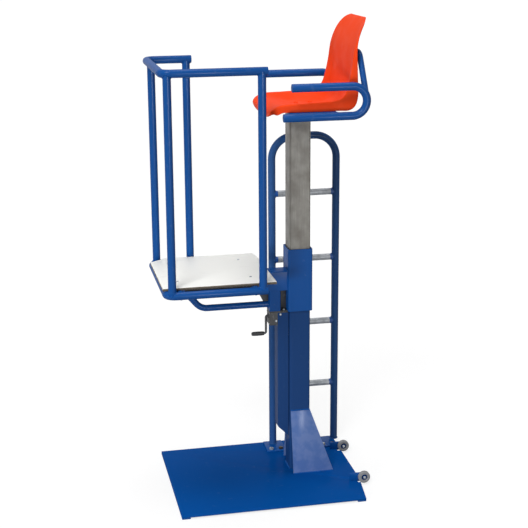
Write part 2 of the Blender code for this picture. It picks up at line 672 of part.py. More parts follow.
# Points across half the shell: share of the half width, share of the rim's rise, share of the turned edge
SHELL_ACROSS = (
    (0.00, 0.00, 0.0), (0.30, 0.00, 0.0), (0.52, 0.04, 0.0), (0.70, 0.24, 0.0), (0.84, 0.66, 0.0),
    (0.94, 0.96, 0.0), (0.985, 1.00, 0.06), (1.00, 1.00, 0.40), (1.01, 1.00, 1.00),
)


def seat_shell():
    """The moulded shell: a skin over the stations, with its wall under or behind the sitting side."""
    middle = [Vector((x, 0.0, PAN_TOP + height)) for x, height, *_ in SHELL_STATIONS]
    loops = []
    for i, (_, _, share, rim, edge) in enumerate(SHELL_STATIONS):
        ahead = middle[min(i + 1, len(middle) - 1)] - middle[max(i - 1, 0)]
        facing = ahead.cross(Vector((0, 1, 0))).normalized()
        half = [(a * share * SHELL_HALF_WIDTH, rim * lift - edge * depth) for a, lift, depth in SHELL_ACROSS]
        section = [Vector((-y, height)) for y, height in half[:0:-1]] + [Vector(place) for place in half]
        sitting, hidden = [], []
        for k, place in enumerate(section):
            along = (section[min(k + 1, len(section) - 1)] - section[max(k - 1, 0)]).normalized()
            point = middle[i] + Vector((0, place.x, 0)) + facing * place.y
            sitting.append(point)
            hidden.append(point + (Vector((0, along.y, 0)) - facing * along.x) * SHELL_WALL)
        loops.append(sitting + hidden[::-1])
    return loft(loops)


def build_carriage(carriage):
    """Sleeve, bushes, bracket and leg."""
    sleeve = square_tube(SLEEVE_HALF, SLEEVE_WALL, SLEEVE_CORNER, SLEEVE_BOTTOM, SLEEVE_TOP)
    add_piece("carriage_sleeve", sleeve, carriage, BLUE_PAINT)
    bush_half = SLEEVE_HALF - SLEEVE_WALL - SEAT_GAP
    for place, low in (
        ("lower", SLEEVE_BOTTOM + BUSH_INSET),
        ("upper", SLEEVE_TOP - BUSH_INSET - BUSH_HEIGHT),
    ):
        bush = square_tube(bush_half, BUSH_THICKNESS, MAST_CORNER, low, low + BUSH_HEIGHT)
        add_piece(f"slide_bush_{place}", bush, carriage, BLACK_PLASTIC)

    leg_half = BRACKET_HALF_WIDTH - BRACKET_SHEET - SEAT_GAP
    leg = leg_tube(leg_half)
    add_piece("carriage_leg", leg, carriage, BLUE_PAINT)


def leg_tube(half):
    """The upright rectangular tube under the bracket, open at both ends."""
    outer = ((LEG_LEFT, -half), (LEG_RIGHT, -half), (LEG_RIGHT, half), (LEG_LEFT, half))
    inner = (
        (LEG_LEFT + LEG_WALL, LEG_WALL - half), (LEG_RIGHT - LEG_WALL, LEG_WALL - half),
        (LEG_RIGHT - LEG_WALL, half - LEG_WALL), (LEG_LEFT + LEG_WALL, half - LEG_WALL),
    )
    levels = ((outer, LEG_BOTTOM), (outer, LEG_TOP), (inner, LEG_TOP), (inner, LEG_BOTTOM))
    return loft([[Vector((x, y, z)) for x, y in outline] for outline, z in levels], cyclic=True)


def bracket_outline():
    """Side view of the bracket: deep at the sleeve and over the leg, then sloped up to the cross tube."""
    top = SLEEVE_BOTTOM + BRACKET_TOP
    right = SLEEVE_LEFT - SEAT_GAP
    bottom = top - BRACKET_DEPTH
    return [
        (CROSS_RIGHT_X, top), (right, top), (right, bottom), (LEG_LEFT, bottom),
        (CROSS_RIGHT_X, top - BRACKET_ARM_DEPTH),
    ]


def build_platform(carriage):
    """Frame, cross tubes, brace, bracket, board, guard rail and posts."""
    frame_path = bent_path(
        [
            (PLATFORM_RIGHT, -PLATFORM_Y, PLATFORM_Z), (PLATFORM_LEFT, -PLATFORM_Y, PLATFORM_Z),
            (PLATFORM_LEFT, PLATFORM_Y, PLATFORM_Z), (PLATFORM_RIGHT, PLATFORM_Y, PLATFORM_Z),
        ],
        PLATFORM_BEND, 5,
    )
    rail_path = bent_path(
        [
            (NEAR_RAIL_END, -PLATFORM_Y, RAIL_Z), (PLATFORM_LEFT, -PLATFORM_Y, RAIL_Z),
            (PLATFORM_LEFT, PLATFORM_Y, RAIL_Z), (FAR_RAIL_END, PLATFORM_Y, RAIL_Z),
        ],
        PLATFORM_BEND, 5,
    )
    rooms = {}
    for name, path, end in (
        ("platform_frame", frame_path, PLATFORM_RIGHT),
        ("guard_rail", rail_path, NEAR_RAIL_END),
    ):
        tube = capped_tube(path, (0, 0, 1), TUBE_RADIUS, TUBE_WALL)
        tube = add_piece(name, tube, carriage, BLUE_PAINT)
        cut(tube, drain_cutter(f"{name}_drain", carriage, end - DRAIN_FROM_END, -PLATFORM_Y, path[0].z))
        rooms[name] = add_piece(f"{name}_room", room_round(path, (0, 0, 1), TUBE_RADIUS), carriage)

    crosses = {}
    for side, x in (("left", CROSS_LEFT_X), ("right", CROSS_RIGHT_X)):
        ends = [Vector((x, -PLATFORM_Y, PLATFORM_Z)), Vector((x, PLATFORM_Y, PLATFORM_Z))]
        cross = open_tube(ends, (0, 0, 1), TUBE_RADIUS, TUBE_WALL)
        crosses[side] = add_piece(f"platform_cross_{side}", cross, carriage, BLUE_PAINT)
        cut(crosses[side], rooms["platform_frame"])
        room = room_round(ends, (0, 0, 1), TUBE_RADIUS)
        rooms[side] = add_piece(f"platform_cross_room_{side}", room, carriage)

    build_brace(carriage, rooms["left"])
    build_bracket(carriage, rooms["right"])
    build_board(carriage, crosses)

    short = PLATFORM_BEND - POST_CORNER_INSET
    corner_y = PLATFORM_Y - PLATFORM_BEND + math.sqrt(PLATFORM_BEND ** 2 - max(short, 0.0) ** 2)
    posts = (
        (PLATFORM_LEFT + POST_CORNER_INSET, corner_y), (PLATFORM_LEFT + POST_CORNER_INSET, -corner_y),
        (FAR_RAIL_END - POST_END_INSET, PLATFORM_Y), (NEAR_RAIL_END - POST_END_INSET, -PLATFORM_Y),
    )
    for number, (x, y) in enumerate(posts, 1):
        ends = [Vector((x, y, PLATFORM_Z)), Vector((x, y, RAIL_Z))]
        post = open_tube(ends, (0, 1, 0), TUBE_RADIUS, TUBE_WALL)
        post = add_piece(f"guard_post_{number}", post, carriage, BLUE_PAINT)
        cut(post, rooms["platform_frame"], rooms["guard_rail"])


def build_brace(carriage, cross_room):
    """The bent tube from the leg's foot up to the left cross tube."""
    z = SLEEVE_BOTTOM + BRACE_RISE
    run = (PLATFORM_Z - z) / math.tan(math.radians(BRACE_SLOPE))
    corners = [
        (LEG_LEFT - SEAT_GAP, 0.0, z), (CROSS_LEFT_X + run, 0.0, z), (CROSS_LEFT_X, 0.0, PLATFORM_Z),
    ]
    path = bent_path(corners, BRACE_BEND, 4)
    brace = open_tube(path, (0, 1, 0), RUNG_DIAMETER / 2, RUNG_WALL)
    cut(add_piece("platform_brace", brace, carriage, BLUE_PAINT), cross_room)


def build_bracket(carriage, cross_room):
    """The folded bracket from the sleeve to the right cross tube: a solid outline, hollowed from below."""
    solid = prism(bracket_outline(), "Y", -BRACKET_HALF_WIDTH, BRACKET_HALF_WIDTH)
    bracket = add_piece("carriage_bracket", solid, carriage, BLUE_PAINT)
    inside = BRACKET_HALF_WIDTH - BRACKET_SHEET
    top = SLEEVE_BOTTOM + BRACKET_TOP - BRACKET_SHEET
    low = (CROSS_RIGHT_X - TUBE_DIAMETER, -inside, SLEEVE_BOTTOM)
    high = (0.0, inside, top)
    cut(bracket, add_piece("bracket_hollow", box(low, high), carriage), cross_room)


def build_board(carriage, crosses):
    """The footboard, with its cut corners, and the screws that hold it to the cross tubes."""
    left = PLATFORM_LEFT - BOARD_LEFT_OVERHANG
    half = PLATFORM_Y - TUBE_RADIUS - BOARD_POST_GAP
    outline = [
        (left, -half), (BOARD_RIGHT, -half), (BOARD_RIGHT, half - BOARD_RIGHT_CHAMFER[1]),
        (BOARD_RIGHT - BOARD_RIGHT_CHAMFER[0], half), (left + BOARD_LEFT_CHAMFER[0], half),
        (left, half - BOARD_LEFT_CHAMFER[1]),
    ]
    board = add_piece("footboard", prism(outline, "Z", BOARD_BOTTOM, BOARD_TOP), carriage, WHITE_BOARD)
    number = 0
    for side, x in (("left", CROSS_LEFT_X), ("right", CROSS_RIGHT_X)):
        for y in (-SCREW_SPACING / 2, SCREW_SPACING / 2):
            number += 1
            under_head = BOARD_TOP + SEAT_GAP
            tip = under_head - SCREW_LENGTH
            drill = hole_cutter(
                f"board_screw_hole_{number}", carriage, SCREW_DIAMETER, x, y, PLATFORM_Z, under_head + SCREW_LENGTH
            )
            cut(board, drill)
            cut(crosses[side], drill)
            profile = (
                (SCREW_DIAMETER / 2, tip), (SCREW_DIAMETER / 2, under_head), (SCREW_HEAD / 2, under_head),
                (SCREW_HEAD / 3, under_head + SCREW_HEAD_HEIGHT),
            )
            add_piece(f"board_screw_{number}", turned(profile, "Z", (x, y), sides=12), carriage, ZINC)


def build_lift(stand, carriage, spindle, pinion, crank, grip):
    """Nut, guard, gearbox, spindle, bevel gears, crank and grip. The pinion runs free on the crank's shaft."""
    build_nut(stand)
    build_guard(carriage)
    build_gearbox(carriage)

    journal = JOURNAL_DIAMETER / 2
    shoulder = GEARBOX_BOTTOM + GEARBOX_WALL + SEAT_GAP
    small_end = GEAR_PITCH_RADIUS * (1 - GEAR_FACE)
    profile = (
        (SPINDLE_DIAMETER / 2 - SPINDLE_CHAMFER, SPINDLE_BOTTOM),
        (SPINDLE_DIAMETER / 2, SPINDLE_BOTTOM + SPINDLE_CHAMFER), (SPINDLE_DIAMETER / 2, shoulder),
        (journal, shoulder), (journal, CRANK_Z - small_end - JOURNAL_END_GAP),
    )
    add_piece("lift_spindle", turned(profile, "Z", (SPINDLE_X, 0.0)), spindle, GREASED_STEEL)
    apex = Vector((SPINDLE_X, 0.0, CRANK_Z))
    down, left = Vector((0, 0, -1)), Vector((-1, 0, 0))
    across = Vector((0, 1, 0))
    gear_hub = CRANK_Z - shoulder - SEAT_GAP
    gear = bevel_gear(apex, down, left, across, journal + SEAT_GAP, gear_hub, 0.0)
    add_piece("spindle_gear", gear, spindle, GREASED_STEEL)

    pinion_hub = SPINDLE_X - (GEARBOX_LEFT + CRANK_WALL + RUNNING_GAP)
    bore = ROD_DIAMETER / 2 + RUNNING_GAP
    mate = bevel_gear(apex, left, down, across, bore, pinion_hub, 0.5)
    add_piece("crank_pinion", mate, pinion, GREASED_STEEL)
    add_piece("crank_rod", crank_rod(SPINDLE_X - small_end), crank, ZINC)

    waist = GRIP_DIAMETER / 2 - GRIP_TAPER
    grip_profile = (
        (bore, GRIP_LEFT), (waist, GRIP_LEFT), (GRIP_DIAMETER / 2, GRIP_LEFT + GRIP_LENGTH / 5),
        (GRIP_DIAMETER / 2, GRIP_RIGHT - GRIP_LENGTH / 5), (waist, GRIP_RIGHT), (bore, GRIP_RIGHT),
    )
    add_piece("crank_grip", turned(grip_profile, "X", (0.0, GRIP_Z), cyclic=True), grip, BLACK_PLASTIC)


def build_nut(stand):
    """The block on the mast's left face that the spindle climbs in."""
    low = (SPINDLE_X - NUT_BEYOND_SPINDLE, -NUT_WIDTH / 2, NUT_TOP - NUT_HEIGHT)
    high = (-MAST_HALF - SEAT_GAP, NUT_WIDTH / 2, NUT_TOP)
    nut = add_piece("lift_nut", box(low, high), stand, GREASED_STEEL)
    drill = hole_cutter(
        "lift_nut_bore", stand, SPINDLE_DIAMETER, SPINDLE_X, 0.0, low[2] - NUT_HEIGHT, high[2] + NUT_HEIGHT
    )
    cut(nut, drill)


def build_guard(carriage):
    """The channel round the spindle, open to the mast, with a slanted foot and its web cut away for the gearbox."""
    inside = GUARD_HALF - GUARD_WALL
    outline = [
        (GUARD_LEFT, -GUARD_HALF), (GUARD_RIGHT, -GUARD_HALF), (GUARD_RIGHT, -inside),
        (GUARD_LEFT + GUARD_WALL, -inside), (GUARD_LEFT + GUARD_WALL, inside), (GUARD_RIGHT, inside),
        (GUARD_RIGHT, GUARD_HALF), (GUARD_LEFT, GUARD_HALF),
    ]
    low = SPINDLE_BOTTOM - GUARD_BELOW_SPINDLE
    top = GEARBOX_BOTTOM + GUARD_LAP
    rings = []
    for slope, z in ((1.0, low), (0.0, top)):
        rings.append([Vector((x, y, z - slope * (x - GUARD_LEFT))) for x, y in outline])
    guard = add_piece("spindle_guard", loft(rings), carriage, BLUE_PAINT)
    window_low = (GUARD_LEFT - GUARD_WALL, -inside, GEARBOX_BOTTOM - RUNNING_GAP)
    window_high = (GUARD_LEFT + 2 * GUARD_WALL, inside, top + GUARD_WALL)
    cut(guard, add_piece("guard_window", box(window_low, window_high), carriage))


def build_gearbox(carriage):
    """The housing, open on top, and the lid under the leg."""
    right = GUARD_RIGHT - SEAT_GAP
    low = (GEARBOX_LEFT, -GEARBOX_HALF, GEARBOX_BOTTOM)
    high = (right, GEARBOX_HALF, GEARBOX_TOP)
    housing = add_piece("gearbox_housing", box(low, high), carriage, BLACK_PLASTIC)
    hollow_low = (GEARBOX_LEFT + CRANK_WALL, GEARBOX_WALL - GEARBOX_HALF, GEARBOX_BOTTOM + GEARBOX_WALL)
    hollow_high = (right - GEARBOX_WALL, GEARBOX_HALF - GEARBOX_WALL, GEARBOX_TOP + GEARBOX_WALL)
    hollow = add_piece("gearbox_hollow", box(hollow_low, hollow_high), carriage)
    floor = hole_cutter(
        "gearbox_floor_bore", carriage, SPINDLE_DIAMETER, SPINDLE_X, 0.0, GEARBOX_BOTTOM - GEARBOX_WALL, CRANK_Z
    )
    bore = ROD_DIAMETER / 2 + RUNNING_GAP
    wall = turned(((bore, GEARBOX_LEFT - bore), (bore, SPINDLE_X)), "X", (0.0, CRANK_Z))
    cut(housing, hollow, floor, add_piece("gearbox_crank_bore", wall, carriage))

    lid_low = (GEARBOX_LEFT, -GEARBOX_HALF, GEARBOX_TOP + SEAT_GAP)
    lid = box(lid_low, (right, GEARBOX_HALF, LID_TOP))
    add_piece("gearbox_lid", lid, carriage, BLACK_PLASTIC)


def bevel_gear(apex, outward, contact, across, bore, hub_back, phase):
    """A mitre gear on a cone whose tip is the apex.

    outward points from the apex to the gear's back, contact to the other gear, and across is square to both. A
    phase of 0 sets a tooth at the contact, and 0.5 a gap.
    """
    pitch = 2 * math.pi / GEAR_TEETH
    lean = math.sqrt(0.5)
    tip = (GEAR_PITCH_RADIUS + GEAR_ADDENDUM * lean, GEAR_PITCH_RADIUS - GEAR_ADDENDUM * lean)
    root = (GEAR_PITCH_RADIUS - GEAR_DEDENDUM * lean, GEAR_PITCH_RADIUS + GEAR_DEDENDUM * lean)
    angles, marks = [], []
    for tooth in range(GEAR_TEETH):
        middle = (tooth + phase) * pitch
        for share, mark in (
            (-TOOTH_ROOT_SHARE, root), (-TOOTH_TIP_SHARE, tip), (TOOTH_TIP_SHARE, tip), (TOOTH_ROOT_SHARE, root),
        ):
            angles.append(middle + share * pitch / 2)
            marks.append(mark)

    def ring(places):
        loop = []
        for angle, (radius, depth) in zip(angles, places):
            spoke = contact * math.cos(angle) + across * math.sin(angle)
            loop.append(apex + outward * depth + spoke * radius)
        return loop

    count = len(angles)
    small = 1 - GEAR_FACE
    hub = GEAR_HUB_DIAMETER / 2
    loops = [
        ring([(bore, root[1] * small)] * count),
        ring([(radius * small, depth * small) for radius, depth in marks]),
        ring(marks),
        ring([(hub, root[1])] * count),
        ring([(hub, hub_back)] * count),
        ring([(bore, hub_back)] * count),
    ]
    return loft(loops, cyclic=True)


def crank_rod(inner_end):
    """One bent bar: shaft, arm and grip pin, with a riveted head that keeps the grip on."""
    pin_end = Vector((GRIP_LEFT - RUNNING_GAP, 0.0, GRIP_Z))
    head_end = pin_end - Vector((GRIP_HEAD_THICKNESS, 0.0, 0.0))
    corners = [(inner_end, 0.0, CRANK_Z), (CRANK_ARM_X, 0.0, CRANK_Z), (CRANK_ARM_X, 0.0, GRIP_Z), pin_end]
    path = bent_path(corners, ROD_BEND, 4)
    bar = rings_along(path, (0, 1, 0), [ROD_DIAMETER / 2] * len(path), PIN_SIDES)
    head = rings_along([pin_end, head_end], (0, 1, 0), [GRIP_HEAD_DIAMETER / 2] * 2, PIN_SIDES)
    return loft(bar + head)


def main():
    for old in list(bpy.data.objects):
        bpy.data.objects.remove(old, do_unlink=True)
    stand = make_carrier("stand", (0.0, 0.0, 0.0))
    carriage = make_carrier("carriage_slide", (0.0, 0.0, SLEEVE_BOTTOM), stand)
    spindle = make_carrier("spindle_axis", (SPINDLE_X, 0.0, CRANK_Z), carriage)
    pinion = make_carrier("pinion_axis", (SPINDLE_X, 0.0, CRANK_Z), carriage)
    crank = make_carrier("crank_axis", (GEARBOX_LEFT, 0.0, CRANK_Z), carriage)
    grip = make_carrier("grip_axis", (GRIP_RIGHT, 0.0, GRIP_Z), crank)
    wheels = {
        "near": make_carrier("wheel_near_axis", (WHEEL_X, WHEEL_NEAR_Y, WHEEL_Z), stand),
        "far": make_carrier("wheel_far_axis", (WHEEL_X, WHEEL_FAR_Y, WHEEL_Z), stand),
    }
    build_base(stand)
    build_mast(stand)
    build_ladder(stand)
    build_wheels(stand, wheels)
    build_seat(stand)
    build_carriage(carriage)
    build_platform(carriage)
    build_lift(stand, carriage, spindle, pinion, crank, grip)


main()
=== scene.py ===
"""Looks of a volleyball referee's stand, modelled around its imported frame.

Lengths are metres and +Z is up. X runs from the footboard (negative) to the seat back (positive), and the
ladder stands on the +Y side. Each class below is one sub-assembly of the stand: it takes its places from the
frame, models its pieces with Blender's own tools and dresses them in the finishes that come first.
"""

from __future__ import annotations

import logging
import math
from collections.abc import Callable, Iterator, Sequence
from contextlib import contextmanager
from dataclasses import dataclass
from enum import Enum
from typing import Any

import bmesh
import bpy
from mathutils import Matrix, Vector


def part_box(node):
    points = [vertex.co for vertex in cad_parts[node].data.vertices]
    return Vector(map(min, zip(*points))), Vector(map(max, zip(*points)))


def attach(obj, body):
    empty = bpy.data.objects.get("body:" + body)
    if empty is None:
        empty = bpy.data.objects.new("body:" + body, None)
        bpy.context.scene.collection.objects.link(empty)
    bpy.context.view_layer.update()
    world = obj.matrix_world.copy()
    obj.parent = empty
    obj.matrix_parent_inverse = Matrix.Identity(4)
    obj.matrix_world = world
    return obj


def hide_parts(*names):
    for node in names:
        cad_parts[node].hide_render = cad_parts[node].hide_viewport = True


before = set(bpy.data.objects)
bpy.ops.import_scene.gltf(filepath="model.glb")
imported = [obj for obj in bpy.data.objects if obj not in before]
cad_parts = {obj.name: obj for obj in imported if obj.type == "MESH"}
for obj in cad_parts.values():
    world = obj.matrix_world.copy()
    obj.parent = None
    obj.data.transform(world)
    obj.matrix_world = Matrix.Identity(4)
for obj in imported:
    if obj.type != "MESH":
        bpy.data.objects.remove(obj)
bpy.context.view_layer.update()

LOG = logging.getLogger("referee_stand")

Piece = bpy.types.Object
Tree = bpy.types.NodeTree
Socket = bpy.types.NodeSocket
Outline = Sequence[tuple[float, float]]

X = Vector((1.0, 0.0, 0.0))
Y = Vector((0.0, 1.0, 0.0))
Z = Vector((0.0, 0.0, 1.0))
MM = 0.001
MERGE_DISTANCE = 1e-6
TUBE_FACETS = 40
TURNED_FACETS = 48
SMALL_FACETS = 32
TUBE_RIM = 1.6 * MM
BEND_STEP = math.radians(6.0)
SMOOTH_ANGLE = math.radians(32.0)
EASE_ANGLE = math.radians(40.0)
WELD_RIPPLE = 4.5 * MM
CLOSE_FIT = 0.3 * MM
RUNNING_FIT = 0.5 * MM
SAWN_EDGE = 0.4 * MM
THROUGH = 0.05


class Body(Enum):
    """Bodies of the frame that pieces ride on."""

    STAND = "stand"
    CARRIAGE = "carriage"
    SPINDLE = "spindle"
    CRANK = "crank"
    GRIP = "grip"
    WHEEL_NEAR = "wheel_near"
    WHEEL_FAR = "wheel_far"


class Slot(Enum):
    """Material slots of the record."""

    BLUE_PAINT = "blue_paint"
    BARE_STEEL = "bare_steel"
    ZINC = "zinc"
    GREASED_STEEL = "greased_steel"
    ORANGE_SHELL = "orange_shell"
    WHITE_BOARD = "white_board"
    BLACK_PLASTIC = "black_plastic"
    BLACK_CASTING = "black_casting"
    GREY_RUBBER = "grey_rubber"


class Side(Enum):
    """Sides of the stand across its depth, with their direction along Y."""

    NEAR = -1
    FAR = 1

    @property
    def word(self) -> str:
        """The side's word in the names of the nodes."""
        return self.name.lower()

    @classmethod
    def nodes(cls, stem: str) -> list[str]:
        """Names of the like nodes on the near and the far side."""
        return [f"{stem}_{side.word}" for side in cls]


# Places in the frame


def left_and_right(stem: str) -> list[str]:
    """Names of the like nodes on the left and the right."""
    return [f"{stem}_left", f"{stem}_right"]


def numbered(stem: str, count: int) -> list[str]:
    """Names of like nodes that are told apart by a number."""
    return [f"{stem}_{number}" for number in range(1, count + 1)]


@dataclass(frozen=True)
class Span:
    """Lowest and highest corner of a CAD node at rest."""

    low: Vector
    high: Vector

    @classmethod
    def of(cls, node: str) -> Span:
        """The span of a node of the frame."""
        return cls(*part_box(node))

    @property
    def middle(self) -> Vector:
        """Centre of the span."""
        return (self.low + self.high) / 2

    @property
    def size(self) -> Vector:
        """Lengths of the span along X, Y and Z."""
        return self.high - self.low


def path(*points: tuple[float, float, float]) -> list[Vector]:
    """Points of a line through space."""
    return [Vector(point) for point in points]


def level(outline: Outline, z: float) -> list[Vector]:
    """Points of a plan, laid level at a height."""
    return [Vector((x, y, z)) for x, y in outline]


def upright(outline: Outline, y: float) -> list[Vector]:
    """Points of a side view, stood up at a depth."""
    return [Vector((x, y, z)) for x, z in outline]


# Finishes


def linear(colour: str) -> tuple[float, float, float, float]:
    """Turn an sRGB hex colour into the linear values that a shader takes.

    Args:
        colour: Six hex digits after a hash sign.

    Returns:
        Red, green, blue and full opacity.
    """
    channels = []
    for start in (1, 3, 5):
        value = int(colour[start:start + 2], 16) / 255
        channels.append(value / 12.92 if value <= 0.04045 else ((value + 0.055) / 1.055) ** 2.4)
    return (channels[0], channels[1], channels[2], 1.0)


def per_metre(size_mm: float) -> float:
    """Texture scale that gives one feature every size_mm millimetres."""
    return 1.0 / (size_mm * MM)


def add_node(
    tree: Tree, kind: str, settings: dict[str, Any] | None = None, sockets: dict[str | int, Any] | None = None
) -> bpy.types.Node:
    """Add a node with its settings, socket values and links.

    Args:
        tree: Node tree that takes the node.
        kind: Blender's name of the node's type, after its first part.
        settings: Attributes of the node.
        sockets: Input name or number, with a value or the output socket that feeds it.

    Returns:
        The new node.
    """
    node = tree.nodes.new(f"ShaderNode{kind}")
    for name, value in (settings or {}).items():
        setattr(node, name, value)
    for name, value in (sockets or {}).items():
        if isinstance(value, Socket):
            tree.links.new(value, node.inputs[name])
        else:
            node.inputs[name].default_value = value
    return node


COLOUR = {"data_type": "RGBA"}
PRODUCT = {"operation": "MULTIPLY"}
LARGER = {"operation": "MAXIMUM"}
FACTOR, FIRST, SECOND, MIXED = 0, 6, 7, 2


@dataclass(frozen=True)
class Patches:
    """Soft patches of a real size, which begin at one value of a noise and are full at another."""

    size_mm: float
    low: float = 0.3
    high: float = 0.7
    stretch: tuple[float, float, float] | None = None
    turn: float = 0.0

    def factor(self, tree: Tree, place: Socket) -> Socket:
        """Draw the patches.

        Args:
            tree: Node tree of the material.
            place: Coordinates that the patches lie in.

        Returns:
            A factor, from 0 between the patches to 1 on them.
        """
        if self.stretch:
            turned_by = {"Vector": place, "Rotation": (0.0, 0.0, self.turn), "Scale": self.stretch}
            place = add_node(tree, "Mapping", {"vector_type": "POINT"}, turned_by).outputs[0]
        noise = add_node(
            tree, "TexNoise", sockets={"Vector": place, "Scale": per_metre(self.size_mm), "Detail": 4.0}
        )
        limits = {"Value": noise.outputs[0], "From Min": self.low, "From Max": self.high}
        return add_node(tree, "MapRange", sockets=limits).outputs[0]


@dataclass(frozen=True)
class Finish:
    """A real surface: its common name, how it was made, and the values that come from that.

    Patches of wear show a second colour, patches of dullness change the roughness, and a relief catches the
    light. Dullness and relief lie where the wear is, unless they have patches of their own.
    """

    name: str
    colour: str
    roughness: float
    metallic: float = 0.0
    slot: Slot = Slot.BLUE_PAINT
    worn: str = "#808080"
    worn_at: Patches = Patches(20.0)
    wear: float = 1.0
    dull_at: Patches | None = None
    dulling: tuple[float, float] = (0.0, 0.0)
    relief_at: Patches | None = None
    relief_mm: float = 0.0

    def material(self) -> bpy.types.Material:
        """Make the finish's material, or find the one that was made before.

        Returns:
            The Blender material, which all pieces in this finish share.
        """
        made = bpy.data.materials.get(self.name)
        if made is None:
            made = bpy.data.materials.new(self.name)
            made.use_nodes = True
            tree = made.node_tree
            tree.nodes.clear()
            place = add_node(tree, "TexCoord").outputs["Object"]
            shader = add_node(tree, "BsdfPrincipled", sockets=self.sockets(tree, place))
            add_node(tree, "OutputMaterial", sockets={"Surface": shader.outputs[0]})
        return made

    def sockets(self, tree: Tree, place: Socket) -> dict[str, Any]:
        """Draw the finish's patterns.

        Args:
            tree: Node tree of the material.
            place: Object coordinates of the surface, in metres.

        Returns:
            The shader's inputs by name, each with its value or the output that feeds it.
        """
        given = {"Metallic": self.metallic, "Roughness": self.roughness, "Base Color": self.tint(tree, place)}
        if any(self.dulling):
            dull = (self.dull_at or self.worn_at).factor(tree, place)
            low, high = (self.roughness + change for change in self.dulling)
            spread = add_node(tree, "MapRange", sockets={"Value": dull, "To Min": low, "To Max": high})
            given["Roughness"] = spread.outputs[0]
        if self.relief_mm:
            relief = {"Height": self.relief(tree, place), "Distance": self.relief_mm * MM, "Strength": 1.0}
            given["Normal"] = add_node(tree, "Bump", sockets=relief).outputs[0]
        return given

    def tint(self, tree: Tree, place: Socket) -> Socket:
        """The colour, with the worn colour over it where the surface is worn."""
        shades = {FACTOR: self.worn_share(tree, place), FIRST: linear(self.colour), SECOND: linear(self.worn)}
        return add_node(tree, "Mix", COLOUR, shades).outputs[MIXED]

    def worn_share(self, tree: Tree, place: Socket) -> Socket:
        """How much of the worn colour shows."""
        return add_node(tree, "Math", PRODUCT, {0: self.worn_at.factor(tree, place), 1: self.wear}).outputs[0]

    def relief(self, tree: Tree, place: Socket) -> Socket:
        """Height of the relief, from 0 to 1."""
        return (self.relief_at or self.worn_at).factor(tree, place)


@dataclass(frozen=True)
class EnamelPaint(Finish):
    """Sprayed gloss enamel on steel: an even deep colour under a clear gloss, with orange peel and scuffs.

    The peel of sprayed enamel is about 2 mm across, and is drawn at 6 mm so that it shows.
    """

    worn: str = "#53709f"
    worn_at: Patches = Patches(26.0, 0.63, 0.79)
    wear: float = 0.35
    dull_at: Patches | None = Patches(45.0)
    dulling: tuple[float, float] = (-0.04, 0.07)
    relief_at: Patches | None = Patches(6.0, 0.2, 0.8)
    relief_mm: float = 0.10
    gloss: float = 0.30
    gloss_roughness: float = 0.24

    def sockets(self, tree: Tree, place: Socket) -> dict[str, Any]:
        """Scuffed colour, uneven gloss and orange peel, under a clear coat."""
        coat = {"Coat Weight": self.gloss, "Coat Roughness": self.gloss_roughness}
        return super().sockets(tree, place) | {"Specular IOR Level": 0.0} | coat


@dataclass(frozen=True)
class DrawnTube(Finish):
    """Bare drawn steel tube, oiled and handled: mottled grey-brown, with faint draw lines along it."""

    slot: Slot = Slot.BARE_STEEL
    worn: str = "#69655f"
    worn_at: Patches = Patches(60.0, 0.35, 0.75)
    dulling: tuple[float, float] = (-0.05, 0.08)
    relief_at: Patches | None = Patches(5.0, 0.35, 0.7, (1.0, 1.0, 0.06))
    relief_mm: float = 0.03
    shine: str = "#83817b"

    def tint(self, tree: Tree, place: Socket) -> Socket:
        """Steel that shines on its draw lines, with brown stains over both.

        Args:
            tree: Node tree of the material.
            place: Object coordinates of the surface.

        Returns:
            The colour.
        """
        lines = {FACTOR: self.relief(tree, place), FIRST: linear(self.colour), SECOND: linear(self.shine)}
        shined = add_node(tree, "Mix", COLOUR, lines).outputs[MIXED]
        stains = {FACTOR: self.worn_share(tree, place), FIRST: shined, SECOND: linear(self.worn)}
        return add_node(tree, "Mix", COLOUR, stains).outputs[MIXED]


@dataclass(frozen=True)
class ZincPlate(Finish):
    """Electroplated zinc: bright cold grey with a faint cloud and small dull spots."""

    slot: Slot = Slot.ZINC
    worn: str = "#7d8287"
    worn_at: Patches = Patches(9.0, 0.4, 0.7)
    dulling: tuple[float, float] = (0.0, 0.15)
    relief_mm: float = 0.03


@dataclass(frozen=True)
class OversprayedZinc(ZincPlate):
    """Zinc-plated rungs whose ends took some of the enamel when the ladder's hoop was sprayed."""

    enamel: str = "#0f4d97"
    left: float = 0.0
    right: float = 0.0

    def sockets(self, tree: Tree, place: Socket) -> dict[str, Any]:
        """Plating with an enamelled stub at each end.

        Args:
            tree: Node tree of the material.
            place: Object coordinates of the surface.

        Returns:
            The shader's inputs by name.
        """
        given = super().sockets(tree, place)
        along = add_node(tree, "SeparateXYZ", sockets={0: place}).outputs["X"]
        stubs = []
        for edge, past in ((self.left, self.left - MM), (self.right, self.right + MM)):
            limits = {"Value": along, "From Min": edge, "From Max": past}
            stubs.append(add_node(tree, "MapRange", sockets=limits).outputs[0])
        stub = add_node(tree, "Math", LARGER, {0: stubs[0], 1: stubs[1]}).outputs[0]
        shades = {FACTOR: stub, FIRST: given["Base Color"], SECOND: linear(self.enamel)}
        given["Base Color"] = add_node(tree, "Mix", COLOUR, shades).outputs[MIXED]
        metal = {"Value": stub, "To Min": self.metallic, "To Max": 0.0}
        given["Metallic"] = add_node(tree, "MapRange", sockets=metal).outputs[0]
        return given


